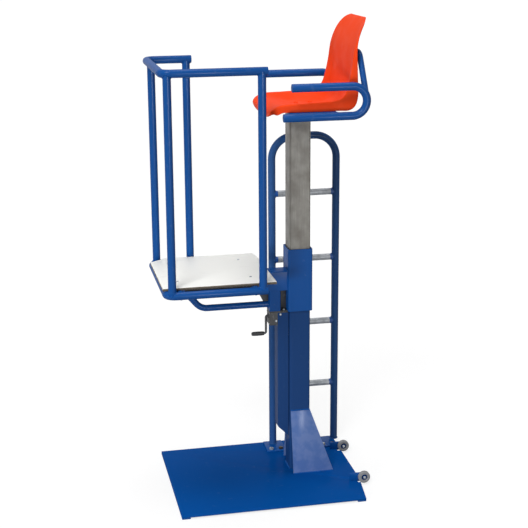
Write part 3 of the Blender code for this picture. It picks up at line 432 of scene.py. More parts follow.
@dataclass(frozen=True)
class MouldedPlastic(Finish):
    """Injection-moulded plastic: even colour right through, with the fine grain of a spark-eroded mould.

    Mould grain is about 0.5 mm across, and is drawn coarser so that it shows.
    """

    slot: Slot = Slot.BLACK_PLASTIC
    worn_at: Patches = Patches(70.0, 0.45, 0.75)
    wear: float = 0.4
    dulling: tuple[float, float] = (0.04, -0.06)
    relief_mm: float = 0.03
    grain_mm: float = 3.0
    gloss: float = 0.5

    def sockets(self, tree: Tree, place: Socket) -> dict[str, Any]:
        """Plastic colour, a little paler where it is rubbed, with its own gloss."""
        return super().sockets(tree, place) | {"Specular IOR Level": self.gloss}

    def relief(self, tree: Tree, place: Socket) -> Socket:
        """Grain of the mould."""
        grain = {"Vector": place, "Scale": per_metre(self.grain_mm)}
        return add_node(tree, "TexVoronoi", {"feature": "SMOOTH_F1"}, grain).outputs["Distance"]


@dataclass(frozen=True)
class Laminate(Finish):
    """White high-pressure laminate on plywood: smooth, with grey scuffs from shoes."""

    slot: Slot = Slot.WHITE_BOARD
    worn: str = "#b9b8b1"
    worn_at: Patches = Patches(55.0, 0.56, 0.82)
    streaks: Patches = Patches(9.0, 0.55, 0.8, (0.12, 1.0, 1.0), 0.6)
    dulling: tuple[float, float] = (0.0, 0.15)
    relief_at: Patches | None = Patches(3.0)
    relief_mm: float = 0.03

    def worn_share(self, tree: Tree, place: Socket) -> Socket:
        """Scuffs: streaks within patches."""
        both = {0: self.worn_at.factor(tree, place), 1: self.streaks.factor(tree, place)}
        return add_node(tree, "Math", PRODUCT, both).outputs[0]


@dataclass(frozen=True)
class PlywoodEdge(Finish):
    """Sawn and sealed edge of birch plywood: dark and light plies in turn, browned by the sealer."""

    slot: Slot = Slot.WHITE_BOARD
    worn: str = "#83735a"
    fibres: Patches = Patches(4.0, 0.35, 0.75)
    ply_mm: float = 1.7
    relief_mm: float = 0.1

    def worn_share(self, tree: Tree, place: Socket) -> Socket:
        """Pale plies that lie one over the other, with fibres along the edge.

        Args:
            tree: Node tree of the material.
            place: Object coordinates of the surface.

        Returns:
            How much of the pale plies shows.
        """
        bands = {"wave_type": "BANDS", "bands_direction": "Z", "wave_profile": "SIN"}
        lie = {"Vector": place, "Scale": per_metre(self.ply_mm) / 20, "Distortion": 0.6, "Detail": 2.0}
        plies = add_node(tree, "TexWave", bands, lie).outputs["Fac"]
        return add_node(tree, "Math", PRODUCT, {0: plies, 1: self.fibres.factor(tree, place)}).outputs[0]

    def relief(self, tree: Tree, place: Socket) -> Socket:
        """The pale plies stand out of the edge."""
        return self.worn_share(tree, place)


@dataclass(frozen=True)
class SandCasting(Finish):
    """Sand-cast iron under thin dark paint: a coarse skin that dulls the light, with rubbed high spots."""

    slot: Slot = Slot.BLACK_CASTING
    worn: str = "#6a6b6d"
    worn_at: Patches = Patches(16.0, 0.56, 0.78)
    relief_at: Patches | None = Patches(3.5, 0.25, 0.75)
    relief_mm: float = 0.25


@dataclass(frozen=True)
class GreasedSteel(Finish):
    """Turned steel under old grease: dark, wet in patches and dry between them."""

    slot: Slot = Slot.GREASED_STEEL
    worn: str = "#6b6257"
    worn_at: Patches = Patches(7.0, 0.45, 0.65)
    dulling: tuple[float, float] = (0.0, 0.25)


BLUE = EnamelPaint("gloss enamel, sprayed", "#0c4d95", 0.30)
# A darker copy of the enamel, as painted shade: used on the mast's lower part, the spindle guard and the
# wheel hubs.
PAINTED_SHADE_ENAMEL = EnamelPaint("gloss enamel, darkened as painted shade", "#1d4176", 0.40, worn="#2b4a78", gloss=0.15)
# A lighter, greyer copy of the enamel for the ladder: painted light that lifts it where it stands in the
# mast's shade.
PAINTED_LIGHT_ENAMEL = EnamelPaint("gloss enamel, lightened as painted light", "#305992", 0.40, worn="#4b6590", gloss=0.20)
FLOODED = EnamelPaint("gloss enamel, brushed thick", "#064c98", 0.50, gloss=0.04, wear=0.15)
# A lighter copy of the enamel for the sloped plates at the mast's foot: a painted reflection of the light
# that their slope catches, with paler mottled patches in it.
PAINTED_REFLECTION_ENAMEL = EnamelPaint(
    "gloss enamel, scuffed chalky", "#5270a9", 0.5, worn="#6a80b2", worn_at=Patches(45.0, 0.40, 0.56),
    wear=0.6,
)
STEEL = DrawnTube("drawn steel tube, oiled", "#777570", 0.5, 0.3)
PLATED = ZincPlate("zinc plate, bright", "#a8adb3", 0.32, 0.8)
DARK_BROWN_BOLT = ZincPlate("steel bolt, dark brown", "#4d443c", 0.5, 0.6, worn="#2f2925")
CRANK_STEEL = ZincPlate("steel bar, blackened", "#56575a", 0.4, 0.6, worn="#3a3a3c")
ORANGE = MouldedPlastic(
    "polypropylene, moulded", "#fa491c", 0.50, slot=Slot.ORANGE_SHELL, worn="#fb5a32", gloss=0.04,
    relief_mm=0.06,
)
BLACK = MouldedPlastic("polyamide, moulded black", "#17181a", 0.46, worn="#2c2d30")
TYRE = MouldedPlastic(
    "rubber tyre, moulded", "#86878a", 0.7, slot=Slot.GREY_RUBBER, worn="#a0a1a4",
    worn_at=Patches(9.0, 0.45, 0.75), relief_mm=0.08,
)
BOARD_FACE = Laminate("laminate, pressed white", "#fbfbf6", 0.48)
BOARD_EDGE = PlywoodEdge("birch plywood edge, sealed", "#4a443b", 0.6)
CASTING = SandCasting("cast iron, painted dark", "#3c3d3f", 0.55)
GREASED = GreasedSteel("turned steel, greased", "#3b362f", 0.28, 0.8)


# Workbench: the operators that every piece is modelled with


class Parts(Enum):
    """Parts of a mesh that a test picks from, with the name of their select mode."""

    FACES = "FACE"
    EDGES = "EDGE"


def deselect() -> None:
    """Leave nothing selected, so that an operator meets only the new piece."""
    bpy.ops.object.select_all(action="DESELECT")


def take_up(piece: Piece) -> None:
    """Make a piece the only one selected, and the active one.

    Args:
        piece: Piece to work on.
    """
    deselect()
    piece.select_set(True)
    bpy.context.view_layer.objects.active = piece


@contextmanager
def editing(piece: Piece) -> Iterator[None]:
    """Open a piece in edit mode with all of it selected, and leave edit mode at the end.

    Args:
        piece: Object to edit.
    """
    take_up(piece)
    bpy.ops.object.mode_set(mode="EDIT")
    bpy.ops.mesh.select_mode(type="VERT")
    bpy.ops.mesh.select_all(action="SELECT")
    yield
    bpy.ops.object.mode_set(mode="OBJECT")


def named(piece: Piece, name: str) -> Piece:
    """Give a piece and its mesh a name."""
    piece.name = piece.data.name = name
    return piece


def new_piece(name: str) -> Piece:
    """Name the primitive that was just added, and put its place into its mesh.

    Args:
        name: Name of the piece.

    Returns:
        The piece, at the origin.
    """
    bpy.ops.object.transform_apply(location=True, rotation=True, scale=True)
    return named(bpy.context.object, name)


def discard(piece: Piece) -> None:
    """Remove a tool that isn't part of the stand."""
    bpy.data.objects.remove(piece, do_unlink=True)


def pick(piece: Piece, parts: Parts, wanted: Callable[[Any], bool]) -> None:
    """Select the faces or the edges that pass a test, in edit mode.

    Args:
        piece: Piece that is open.
        parts: What is tested.
        wanted: Test of one face or edge.
    """
    bpy.ops.mesh.select_mode(type=parts.value)
    bpy.ops.mesh.select_all(action="DESELECT")
    shape = bmesh.from_edit_mesh(piece.data)
    for part in shape.faces if parts is Parts.FACES else shape.edges:
        part.select_set(wanted(part))
    bmesh.update_edit_mesh(piece.data)


def push(offset: Vector) -> None:
    """Extrude what is selected by an offset."""
    bpy.ops.mesh.extrude_region_move(TRANSFORM_OT_translate={"value": offset})


def close_up() -> None:
    """Merge doubles, close open ends and turn every face outwards, in edit mode."""
    bpy.ops.mesh.select_mode(type="VERT")
    steps = (
        (bpy.ops.mesh.remove_doubles, {"threshold": MERGE_DISTANCE}),
        (bpy.ops.mesh.delete_loose, {}),
        (bpy.ops.mesh.fill_holes, {"sides": 0}),
        (bpy.ops.mesh.normals_make_consistent, {"inside": False}),
    )
    for step, settings in steps:
        bpy.ops.mesh.select_all(action="SELECT")
        step(**settings)


def finish_with(piece: Piece, kind: str, **settings: Any) -> None:
    """Add a modifier with its settings to a piece and apply it.

    Args:
        piece: Object that takes the modifier.
        kind: Blender's name of the modifier's type.
        settings: Attributes of the modifier.
    """
    take_up(piece)
    bpy.ops.object.modifier_add(type=kind)
    modifier = piece.modifiers[-1]
    for name, value in settings.items():
        setattr(modifier, name, value)
    bpy.ops.object.modifier_apply(modifier=modifier.name)


def ease(piece: Piece, width: float, segments: int = 2) -> Piece:
    """Break the sharp edges of a piece.

    Args:
        piece: Piece to ease.
        width: Width of the eased edges.
        segments: Steps across an edge.

    Returns:
        The same piece.
    """
    finish_with(
        piece, "BEVEL", width=width, segments=segments, limit_method="ANGLE", angle_limit=EASE_ANGLE,
        use_clamp_overlap=True, miter_outer="MITER_ARC",
    )
    return piece


def cut_away(piece: Piece, *tools: Piece, keep_tools: bool = False) -> Piece:
    """Take the shape of each tool out of a piece.

    Args:
        piece: Object that is cut.
        tools: Closed objects that cut it.
        keep_tools: Whether the tools are pieces of the stand themselves.

    Returns:
        The cut piece.
    """
    for tool in tools:
        finish_with(piece, "BOOLEAN", object=tool, operation="DIFFERENCE", solver="EXACT")
        if not keep_tools:
            discard(tool)
    return piece


def spread(pattern: Piece, places: Sequence[Vector]) -> list[Piece]:
    """Copy a piece, which stands at the first of several places, to the others.

    Args:
        pattern: Finished shape at the first place.
        places: Like points, one for each copy.

    Returns:
        The piece and its copies, each with its own mesh.
    """
    pieces = [pattern]
    for place in places[1:]:
        take_up(pattern)
        bpy.ops.object.duplicate(linked=False)
        bpy.ops.transform.translate(value=place - places[0])
        pieces.append(new_piece(pattern.name))
    return pieces


def joined(name: str, pieces: Sequence[Piece]) -> Piece:
    """Put several shapes into one object.

    Args:
        name: Name of the object.
        pieces: Shapes to put together.

    Returns:
        The object.
    """
    take_up(pieces[0])
    for piece in pieces[1:]:
        piece.select_set(True)
    if len(pieces) > 1:
        bpy.ops.object.join()
    return new_piece(name)


def ring(name: str, points: Sequence[Vector]) -> Piece:
    """A closed loop of edges: a circle whose corners are moved to the given points.

    Args:
        name: Name of the piece.
        points: Corners in order.

    Returns:
        The loop.
    """
    deselect()
    bpy.ops.mesh.primitive_circle_add(vertices=len(points), radius=1.0)
    piece = new_piece(name)
    for corner, point in zip(piece.data.vertices, points):
        corner.co = point
    return piece


def plate(name: str, outline: Sequence[Vector], depth: Vector, edge: float = 0.0) -> Piece:
    """An outline filled and pushed out to a thickness, with its edges eased.

    Args:
        name: Name of the piece.
        outline: Corners in order.
        depth: Thickness as an offset from the outline.
        edge: Width of the eased edges.

    Returns:
        The closed plate.
    """
    piece = ring(name, outline)
    with editing(piece):
        bpy.ops.mesh.edge_face_add()
        push(depth)
        close_up()
    return ease(piece, edge) if edge else piece


def block(name: str, low: Vector, high: Vector, edge: float = 0.0, segments: int = 2) -> Piece:
    """A cube between two corners, with its edges eased.

    Args:
        name: Name of the piece.
        low: Lowest corner.
        high: Highest corner.
        edge: Width of the eased edges.
        segments: Steps across an edge.

    Returns:
        The closed block.
    """
    deselect()
    bpy.ops.mesh.primitive_cube_add(size=1.0, location=(low + high) / 2, scale=high - low)
    piece = new_piece(name)
    if edge:
        with editing(piece):
            bpy.ops.mesh.bevel(offset=edge, segments=segments, affect="EDGES")
    return piece


def arc(centre: tuple[float, float], radius: float, start: float, end: float, steps: int) -> Outline:
    """Points of a flat arc, with its angles in degrees."""
    angles = [math.radians(start + (end - start) * i / steps) for i in range(steps + 1)]
    return [(centre[0] + radius * math.cos(a), centre[1] + radius * math.sin(a)) for a in angles]


def rounded(low: Vector, high: Vector, radius: float, steps: int = 6) -> Outline:
    """A rectangle with round corners, seen from above.

    Args:
        low: Its lowest corner.
        high: Its highest corner.
        radius: Radius of its corners.
        steps: Steps round each corner.

    Returns:
        Points in order.
    """
    outline: list[tuple[float, float]] = []
    corners = ((high.x, high.y, -1, -1), (low.x, high.y, 1, -1), (low.x, low.y, 1, 1), (high.x, low.y, -1, 1))
    for quarter, (x, y, to_x, to_y) in enumerate(corners):
        centre = (x + to_x * radius, y + to_y * radius)
        outline += arc(centre, radius, 90 * quarter, 90 * quarter + 90, steps)
    return outline


def box_tube(name: str, span: Span, radius: float, wall: float) -> Piece:
    """An upright square tube with round corners, open at both ends.

    Args:
        name: Name of the piece.
        span: Outer corners of the tube.
        radius: Outer radius of its corners.
        wall: Thickness of its wall.

    Returns:
        The tube as a closed body.
    """
    piece = ring(name, level(rounded(span.low, span.high, radius), span.low.z))
    with editing(piece):
        push(Z * span.size.z)
        bpy.ops.mesh.select_all(action="SELECT")
        bpy.ops.mesh.normals_make_consistent(inside=False)
    finish_with(piece, "SOLIDIFY", thickness=wall, offset=-1.0, use_even_offset=True)
    return ease(piece, SAWN_EDGE, 1)


def bent_tube(
    name: str, corners: Sequence[Vector], bend: float, radius: float, rim: float, facets: int = TUBE_FACETS
) -> Piece:
    """A round tube bent through corner points, with a closed disc in each end.

    A circle is drawn out along each straight run and spun round each bend.

    Args:
        name: Name of the piece.
        corners: Points where the straight runs would meet.
        bend: Radius of the bends, on the tube's centre line.
        radius: Outer radius of the tube.
        rim: Width of the eased rim at each end.
        facets: Sides of the tube.

    Returns:
        The closed tube.
    """
    heading = (corners[1] - corners[0]).normalized()
    turn = heading.to_track_quat("Z", "Y").to_euler()
    deselect()
    bpy.ops.mesh.primitive_circle_add(vertices=facets, radius=radius, location=corners[0], rotation=turn)
    piece = new_piece(name)
    place = corners[0]
    with editing(piece):
        for corner, after in zip(corners[1:], corners[2:]):
            ahead = (after - corner).normalized()
            sweep = heading.angle(ahead)
            set_back = bend * math.tan(sweep / 2)
            bend_start = corner - heading * set_back
            if (bend_start - place).length > MERGE_DISTANCE * 10:
                push(bend_start - place)
            hinge = heading.cross(ahead).normalized()
            # The operator turns against the right-hand rule, so the sweep is negative
            bpy.ops.mesh.spin(
                steps=max(2, math.ceil(sweep / BEND_STEP)), angle=-sweep,
                center=bend_start + hinge.cross(heading) * bend, axis=hinge,
            )
            place = corner + ahead * set_back
            heading = ahead
        push(corners[-1] - place)
        close_up()
        if rim:
            pick(piece, Parts.FACES, lambda face: len(face.verts) > 4)
            bpy.ops.mesh.region_to_loop()
            bpy.ops.mesh.bevel(offset=rim, segments=2, affect="EDGES")
    return piece


def straight_tube(name: str, ends: Sequence[Vector], radius: float) -> Piece:
    """A round tube between two points, or the tool that copes another piece to such a tube."""
    return bent_tube(name, ends, 0.0, radius, 0.0)


def turned(name: str, profile: Outline, axis: Vector, centre: Vector, facets: int = TURNED_FACETS) -> Piece:
    """A turned piece: a closed profile spun round an axis.

    Args:
        name: Name of the piece.
        profile: Pairs of radius and place along the axis, in order round the profile.
        axis: Direction of the axis.
        centre: Point on the axis where the places are measured from.
        facets: Steps of the spin.

    Returns:
        The closed piece.
    """
    spoke = axis.orthogonal().normalized()
    piece = ring(name, [centre + axis * along + spoke * radius for radius, along in profile])
    with editing(piece):
        bpy.ops.mesh.spin(steps=facets, angle=math.tau, center=centre, axis=axis)
        close_up()
    return piece


def drill(
    axis: Vector, centre: Vector, radius: float, start: float, end: float, facets: int = TURNED_FACETS
) -> Piece:
    """A tool that cuts a round bore, from one place along its axis to another."""
    return turned("drill", ((0.0, start), (radius, start), (radius, end), (0.0, end)), axis, centre, facets)


def hexagon(centre: Vector, axis: Vector, radius: float) -> list[Vector]:
    """Corners of a hexagon that lies square to an axis.

    Args:
        centre: Middle of the hexagon.
        axis: Direction that it faces.
        radius: Distance from the middle to a corner.

    Returns:
        The corners in order.
    """
    side = axis.orthogonal().normalized()
    across = axis.cross(side)
    angles = [math.tau * i / 6 for i in range(6)]
    return [centre + (side * math.cos(a) + across * math.sin(a)) * radius for a in angles]


def hexagon_socket(name: str, mouth: Vector, outward: Vector, radius: float, depth: float) -> Piece:
    """A tool that cuts a hexagon socket, from the middle of a bolt head's outer face."""
    return plate(name, hexagon(mouth - outward * depth, outward, radius), outward * 2 * depth)


@dataclass(frozen=True)
class BoltSize:
    """Sizes of a hexagon bolt: across flats, washer and head together, diameter and length of the shank."""

    flats: float
    height: float
    shank: float
    length: float


def hexagon_bolt(name: str, seat: Vector, axis: Vector, size: BoltSize) -> Piece:
    """A bolt with a hexagon head, a washer under it and its shank.

    Args:
        name: Name of the piece.
        seat: Point on the surface under the washer.
        axis: Direction from the surface to the head.
        size: Sizes of the bolt.

    Returns:
        The bolt.
    """
    flats, height, shank = size.flats, size.height, size.shank / 2
    washer = 0.25 * height
    rim = 0.62 * flats
    chamfer = 0.12 * flats
    profile = (
        (0.0, -size.length), (shank, -size.length), (shank, 0.0), (rim, 0.0), (rim, washer), (0.0, washer)
    )
    lower = ease(turned(f"{name}_washer", profile, axis, seat, SMALL_FACETS), 0.25 * MM, 1)
    base = seat + axis * (washer - 0.05 * MM)
    head = plate(f"{name}_head", hexagon(base, axis, flats / math.sqrt(3)), axis * (height - washer))
    with editing(head):
        pick(head, Parts.FACES, lambda face: face.normal.dot(axis) > 0.9)
        bpy.ops.mesh.inset(thickness=chamfer)
        bpy.ops.transform.translate(value=axis * chamfer / 2)
    return joined(name, (lower, head))


def screw_head(name: str, seat: Vector, axis: Vector, radius: float, height: float, length: float) -> Piece:
    """A pan-head screw with a cross recess and its shank.

    Args:
        name: Name of the piece.
        seat: Point on the surface under the head.
        axis: Direction from the surface to the head.
        radius: Radius of the head.
        height: Height of the head.
        length: Length of the shank below the surface.

    Returns:
        The screw.
    """
    shank = 0.45 * radius
    profile = [(0.0, -length), (shank, -length), (shank, 0.0), (radius, 0.0)]
    for angle in (math.radians(degrees) for degrees in range(0, 90, 15)):
        profile.append((radius * math.cos(angle), height * (0.3 + 0.7 * math.sin(angle))))
    profile.append((0.0, height))
    screw = turned(name, profile, axis, seat, SMALL_FACETS)
    side = axis.orthogonal().normalized()
    floor = seat + axis * 0.45 * height
    for along, wide in ((side, axis.cross(side)), (axis.cross(side), side)):
        reach = along * 0.55 * radius
        half = wide * 0.13 * radius
        corners = (floor - reach - half, floor + reach - half, floor + reach + half, floor - reach + half)
        cut_away(screw, plate(f"{name}_recess", corners, axis * height))
    return screw


def ring_weld(
    name: str, centre: Vector, axis: Vector, radius: float, reach: Callable[[Vector], float], bead: float
) -> Piece:
    """A fillet weld round a tube where it meets another piece, with the ripples that a welder leaves.

    Args:
        name: Name of the piece.
        centre: Point that the tube's reach is measured from, on its axis.
        axis: Direction of the tube away from the other piece.
        radius: Radius of the tube.
        reach: How far along the axis the other surface lies, for an offset from the tube's axis.
        bead: Radius of the weld bead.

    Returns:
        The weld.
    """
    deselect()
    bpy.ops.mesh.primitive_torus_add(
        major_segments=96, minor_segments=8, major_radius=radius, minor_radius=bead
    )
    piece = new_piece(name)
    side = axis.orthogonal().normalized()
    across = axis.cross(side)
    ripples = max(12, round(math.tau * radius / WELD_RIPPLE))
    for corner in piece.data.vertices:
        angle = math.atan2(corner.co.y, corner.co.x)
        spoke = side * math.cos(angle) + across * math.sin(angle)
        out = math.hypot(corner.co.x, corner.co.y) - radius
        swell = 1.0 + 0.14 * math.cos(ripples * angle)
        foot = centre + spoke * radius + axis * reach(spoke * radius)
        corner.co = foot + (spoke * out + axis * corner.co.z) * swell
    return piece


def tube_reach(axis: Vector, other_axis: Vector, other_radius: float) -> Callable[[Vector], float]:
    """How far along its axis a branch tube meets another tube whose centre line it starts on.

    Args:
        axis: Direction of the branch tube.
        other_axis: Direction of the other tube.
        other_radius: Radius of the other tube.

    Returns:
        A function from an offset across the branch to the distance along it.
    """
    flat = axis - other_axis * axis.dot(other_axis)

    def reach(offset: Vector) -> float:
        """Distance along the branch at one offset from its axis.

        Args:
            offset: From the branch's axis to its surface.

        Returns:
            The distance from the branch's start.
        """
        across = offset - other_axis * offset.dot(other_axis)
        half = flat.dot(across)
        rest = across.length_squared - other_radius ** 2
        return (math.sqrt(max(half * half - flat.length_squared * rest, 0.0)) - half) / flat.length_squared

    return reach


def flat_reach(offset: Vector) -> float:
    """Distance to a flat face that the tube stands square on."""
    return 0.0


def seam_weld(start: Vector, end: Vector, bead: float) -> Piece:
    """A straight fillet weld with its ripples.

    Args:
        start: First end of the seam.
        end: Other end of the seam.
        bead: Radius of the weld bead.

    Returns:
        The weld.
    """
    run = end - start
    steps = max(4, round(run.length / (WELD_RIPPLE / 3)))
    heading = run.normalized()
    turn = heading.to_track_quat("Z", "Y").to_euler()
    deselect()
    bpy.ops.mesh.primitive_circle_add(vertices=8, radius=bead, location=start, rotation=turn)
    piece = new_piece("seam")
    with editing(piece):
        for _ in range(steps):
            push(run / steps)
        close_up()
    for corner in piece.data.vertices:
        along = (corner.co - start).dot(heading)
        core = start + heading * along
        taper = min(1.0, 0.45 + min(along, run.length - along) / (4 * MM))
        swell = taper * (1.0 + 0.16 * math.cos(math.tau * along / WELD_RIPPLE))
        corner.co = core + (corner.co - core) * swell
    return piece


def part_finish(piece: Piece, first: Finish, second: Finish, takes_second: Callable[[Any], bool]) -> None:
    """Give a piece two finishes, face by face.

    Args:
        piece: Piece to paint.
        first: Finish of the other faces.
        second: Finish of the faces that pass the test.
        takes_second: Test of one face.
    """
    piece.data.materials.clear()
    for finish in (first, second):
        piece.data.materials.append(finish.material())
    for face in piece.data.polygons:
        face.material_index = int(takes_second(face))


def dress(piece: Piece, body: Body, finish: Finish, *nodes: str) -> Piece:
    """Give a finished piece its material, the body that it rides on and the nodes it stands for.

    Args:
        piece: Finished piece, in place.
        body: Body that it moves with.
        finish: Surface of the piece, with its slot of the record.
        nodes: CAD nodes that the piece replaces.

    Returns:
        The dressed piece.
    """
    if not piece.data.materials:
        piece.data.materials.append(finish.material())
    take_up(piece)
    bpy.ops.object.shade_smooth_by_angle(angle=SMOOTH_ANGLE)
    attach(piece, body.value)
    if nodes:
        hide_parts(*nodes)
    LOG.info("%s: %d faces on %s, in %s", piece.name, len(piece.data.polygons), body.value, finish.name)
    return piece


def seam_welds(name: str, runs: Sequence[Sequence[Vector]], bead: float, body: Body) -> None:
    """Weld seams between pairs of points, as one piece in the frame's enamel."""
    dress(joined(name, [seam_weld(start, end, bead) for start, end in runs]), body, BLUE)


def repeat(pattern: Piece, nodes: Sequence[str], ending: str, body: Body, finish: Finish) -> list[Piece]:
    """Copy a piece, which stands at the first of several like nodes, to the others, and dress them all.

    Args:
        pattern: Finished shape at the first node.
        nodes: The like nodes.
        ending: What a piece's name adds to its node's.
        body: Body that the pieces move with.
        finish: Surface of the pieces.

    Returns:
        The dressed pieces.
    """
    pieces = spread(pattern, [Span.of(node).middle for node in nodes])
    for node, piece in zip(nodes, pieces):
        dress(named(piece, f"{node}_{ending}"), body, finish, node)
    return pieces


def carry_over(node: str, finish: Finish) -> None:
    """Give a CAD node that keeps its shape a better material.

    Args:
        node: Name of the node.
        finish: Surface that it gets.
    """
    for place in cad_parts[node].material_slots:
        place.material = finish.material()
    LOG.info("%s: carried over, in %s", node, finish.name)


# Sub-assemblies


@dataclass
class BasePlate:
    """The plate with its skids, the sloped plates at the mast's foot and the ladder's bolted feet."""

    plate_edge: float = 1.2 * MM
    sheet_edge: float = 0.7 * MM
    corner_width: float = 0.026
    corner_depth: float = 0.195
    notch_gap: float = 3.0 * MM
    gusset_foot: float = 0.055
    gusset_sheet: float = 5.0 * MM
    foot_corner: float = 6.0 * MM
    bolt_flats: float = 17.0 * MM
    bolt_shank: float = 10.0 * MM
    bead: float = 3.2 * MM

    def build(self) -> None:
        """Model and dress every piece of the base."""
        self.plate()
        skids = left_and_right("base_skid")
        span = Span.of(skids[0])
        bar = block("skid_pattern", span.low, span.high, self.plate_edge)
        repeat(bar, skids, "bar", Body.STAND, BLUE)
        for side in Side:
            self.gusset(side)
        self.feet()
        self.welds()

    def plate(self) -> None:
        """The plate, cut back at its near right corner and notched for the wheels."""
        span = Span.of("base_plate")
        left, right = span.low.x, span.high.x
        front, back = span.low.y, span.high.y
        cut_end = front + self.corner_depth

        def right_edge(y: float) -> float:
            """Plate's right edge at one depth."""
            return right - self.corner_width * max(0.0, (cut_end - y) / self.corner_depth)

        outline = [(left, back), (left, front), (right_edge(front), front)]
        bends = [cut_end]
        for side in Side:
            wheel = Span.of(f"wheel_{side.word}")
            inner = wheel.low.x - self.notch_gap
            start, end = wheel.low.y - self.notch_gap, wheel.high.y + self.notch_gap
            outline += [(right, y) for y in bends if y < start]
            bends = [y for y in bends if y >= start]
            outline += [(right_edge(start), start), (inner, start), (inner, end), (right_edge(end), end)]
        outline += [(right, y) for y in bends]
        outline.append((right, back))
        sheet = plate("base_plate_sheet", level(outline, span.low.z), Z * span.size.z, self.plate_edge)
        dress(sheet, Body.STAND, FLOODED, "base_plate")

    def gusset(self, side: Side) -> None:
        """A sloped plate between one of the mast's faces and the base, which spreads to the right.

        Args:
            side: Face of the mast that it stands on.
        """
        node = f"mast_gusset_{side.word}"
        span, mast = Span.of(node), Span.of("mast")
        face = span.high.y if side is Side.NEAR else span.low.y
        foot = face + side.value * self.gusset_foot
        rise = span.size.z
        slope = rise / self.gusset_foot
        thick = self.gusset_sheet * math.hypot(1.0, slope) / slope
        section = (
            (foot, span.low.z), (face, span.high.z), (face, span.high.z - thick * slope),
            (foot - side.value * thick, span.low.z),
        )
        piece = plate(f"{node}_sheet", [Vector((span.low.x, y, z)) for y, z in section], X * span.size.x)
        flare = span.high.x - mast.high.x
        for corner in piece.data.vertices:
            if corner.co.x > span.middle.x:
                corner.co.x = mast.high.x + flare * (1 - (corner.co.z - span.low.z) / rise)
        # The sloped plate takes the lighter enamel: a painted reflection of the light on its slope.
        dress(ease(piece, self.sheet_edge), Body.STAND, PAINTED_REFLECTION_ENAMEL, node)

    def feet(self) -> None:
        """The ladder's feet, each with one bright bolt and one dark brown one."""
        nodes = left_and_right("ladder_foot")
        span = Span.of(nodes[0])
        outline = level(rounded(span.low, span.high, self.foot_corner), span.low.z)
        foot = plate("foot_pattern", outline, Z * span.size.z, self.sheet_edge)
        repeat(foot, nodes, "plate", Body.STAND, BLUE)
        for number, finish in ((1, PLATED), (2, DARK_BROWN_BOLT)):
            nodes = [f"{stem}_{number}" for stem in left_and_right("ladder_foot_bolt")]
            bolt = Span.of(nodes[0])
            seat = Vector((bolt.middle.x, bolt.middle.y, span.high.z))
            size = BoltSize(self.bolt_flats, bolt.high.z - seat.z, self.bolt_shank, seat.z - bolt.low.z)
            repeat(hexagon_bolt("foot_bolt_pattern", seat, Z, size), nodes, "hexagon", Body.STAND, finish)

    def welds(self) -> None:
        """Seams of the sloped plates and of the mast's foot."""
        mast = Span.of("mast")
        deck = Span.of("base_plate").high.z
        runs = []
        for side in Side:
            span = Span.of(f"mast_gusset_{side.word}")
            face = mast.low.y if side is Side.NEAR else mast.high.y
            out = face + side.value * self.gusset_foot
            runs.append(path((span.low.x, face, span.high.z), (mast.high.x, face, span.high.z)))
            runs.append(path((span.low.x, out, deck), (span.high.x, out, deck)))
        for x in (mast.low.x, mast.high.x):
            runs.append(path((x, mast.low.y, deck), (x, mast.high.y, deck)))
        seam_welds("base_welds", runs, self.bead, Body.STAND)


@dataclass
class Mast:
    """The square tube from the base to the seat, painted below the carriage and bare where it slides."""

    corner: float = 8.0 * MM
    wall: float = 4.0 * MM
    paint_above_sleeve_foot: float = 0.055

    def build(self) -> None:
        """Model the mast, part it at the paint line and dress it."""
        line = Span.of("carriage_sleeve").low.z + self.paint_above_sleeve_foot
        tube = box_tube("mast_tube", Span.of("mast"), self.corner, self.wall)
        with editing(tube):
            bpy.ops.mesh.bisect(plane_co=(0.0, 0.0, line), plane_no=Z)
        # Below the paint line the mast takes the darker enamel, which is painted shade.
        part_finish(tube, STEEL, PAINTED_SHADE_ENAMEL, lambda face: face.center.z <= line)
        dress(tube, Body.STAND, STEEL, "mast")


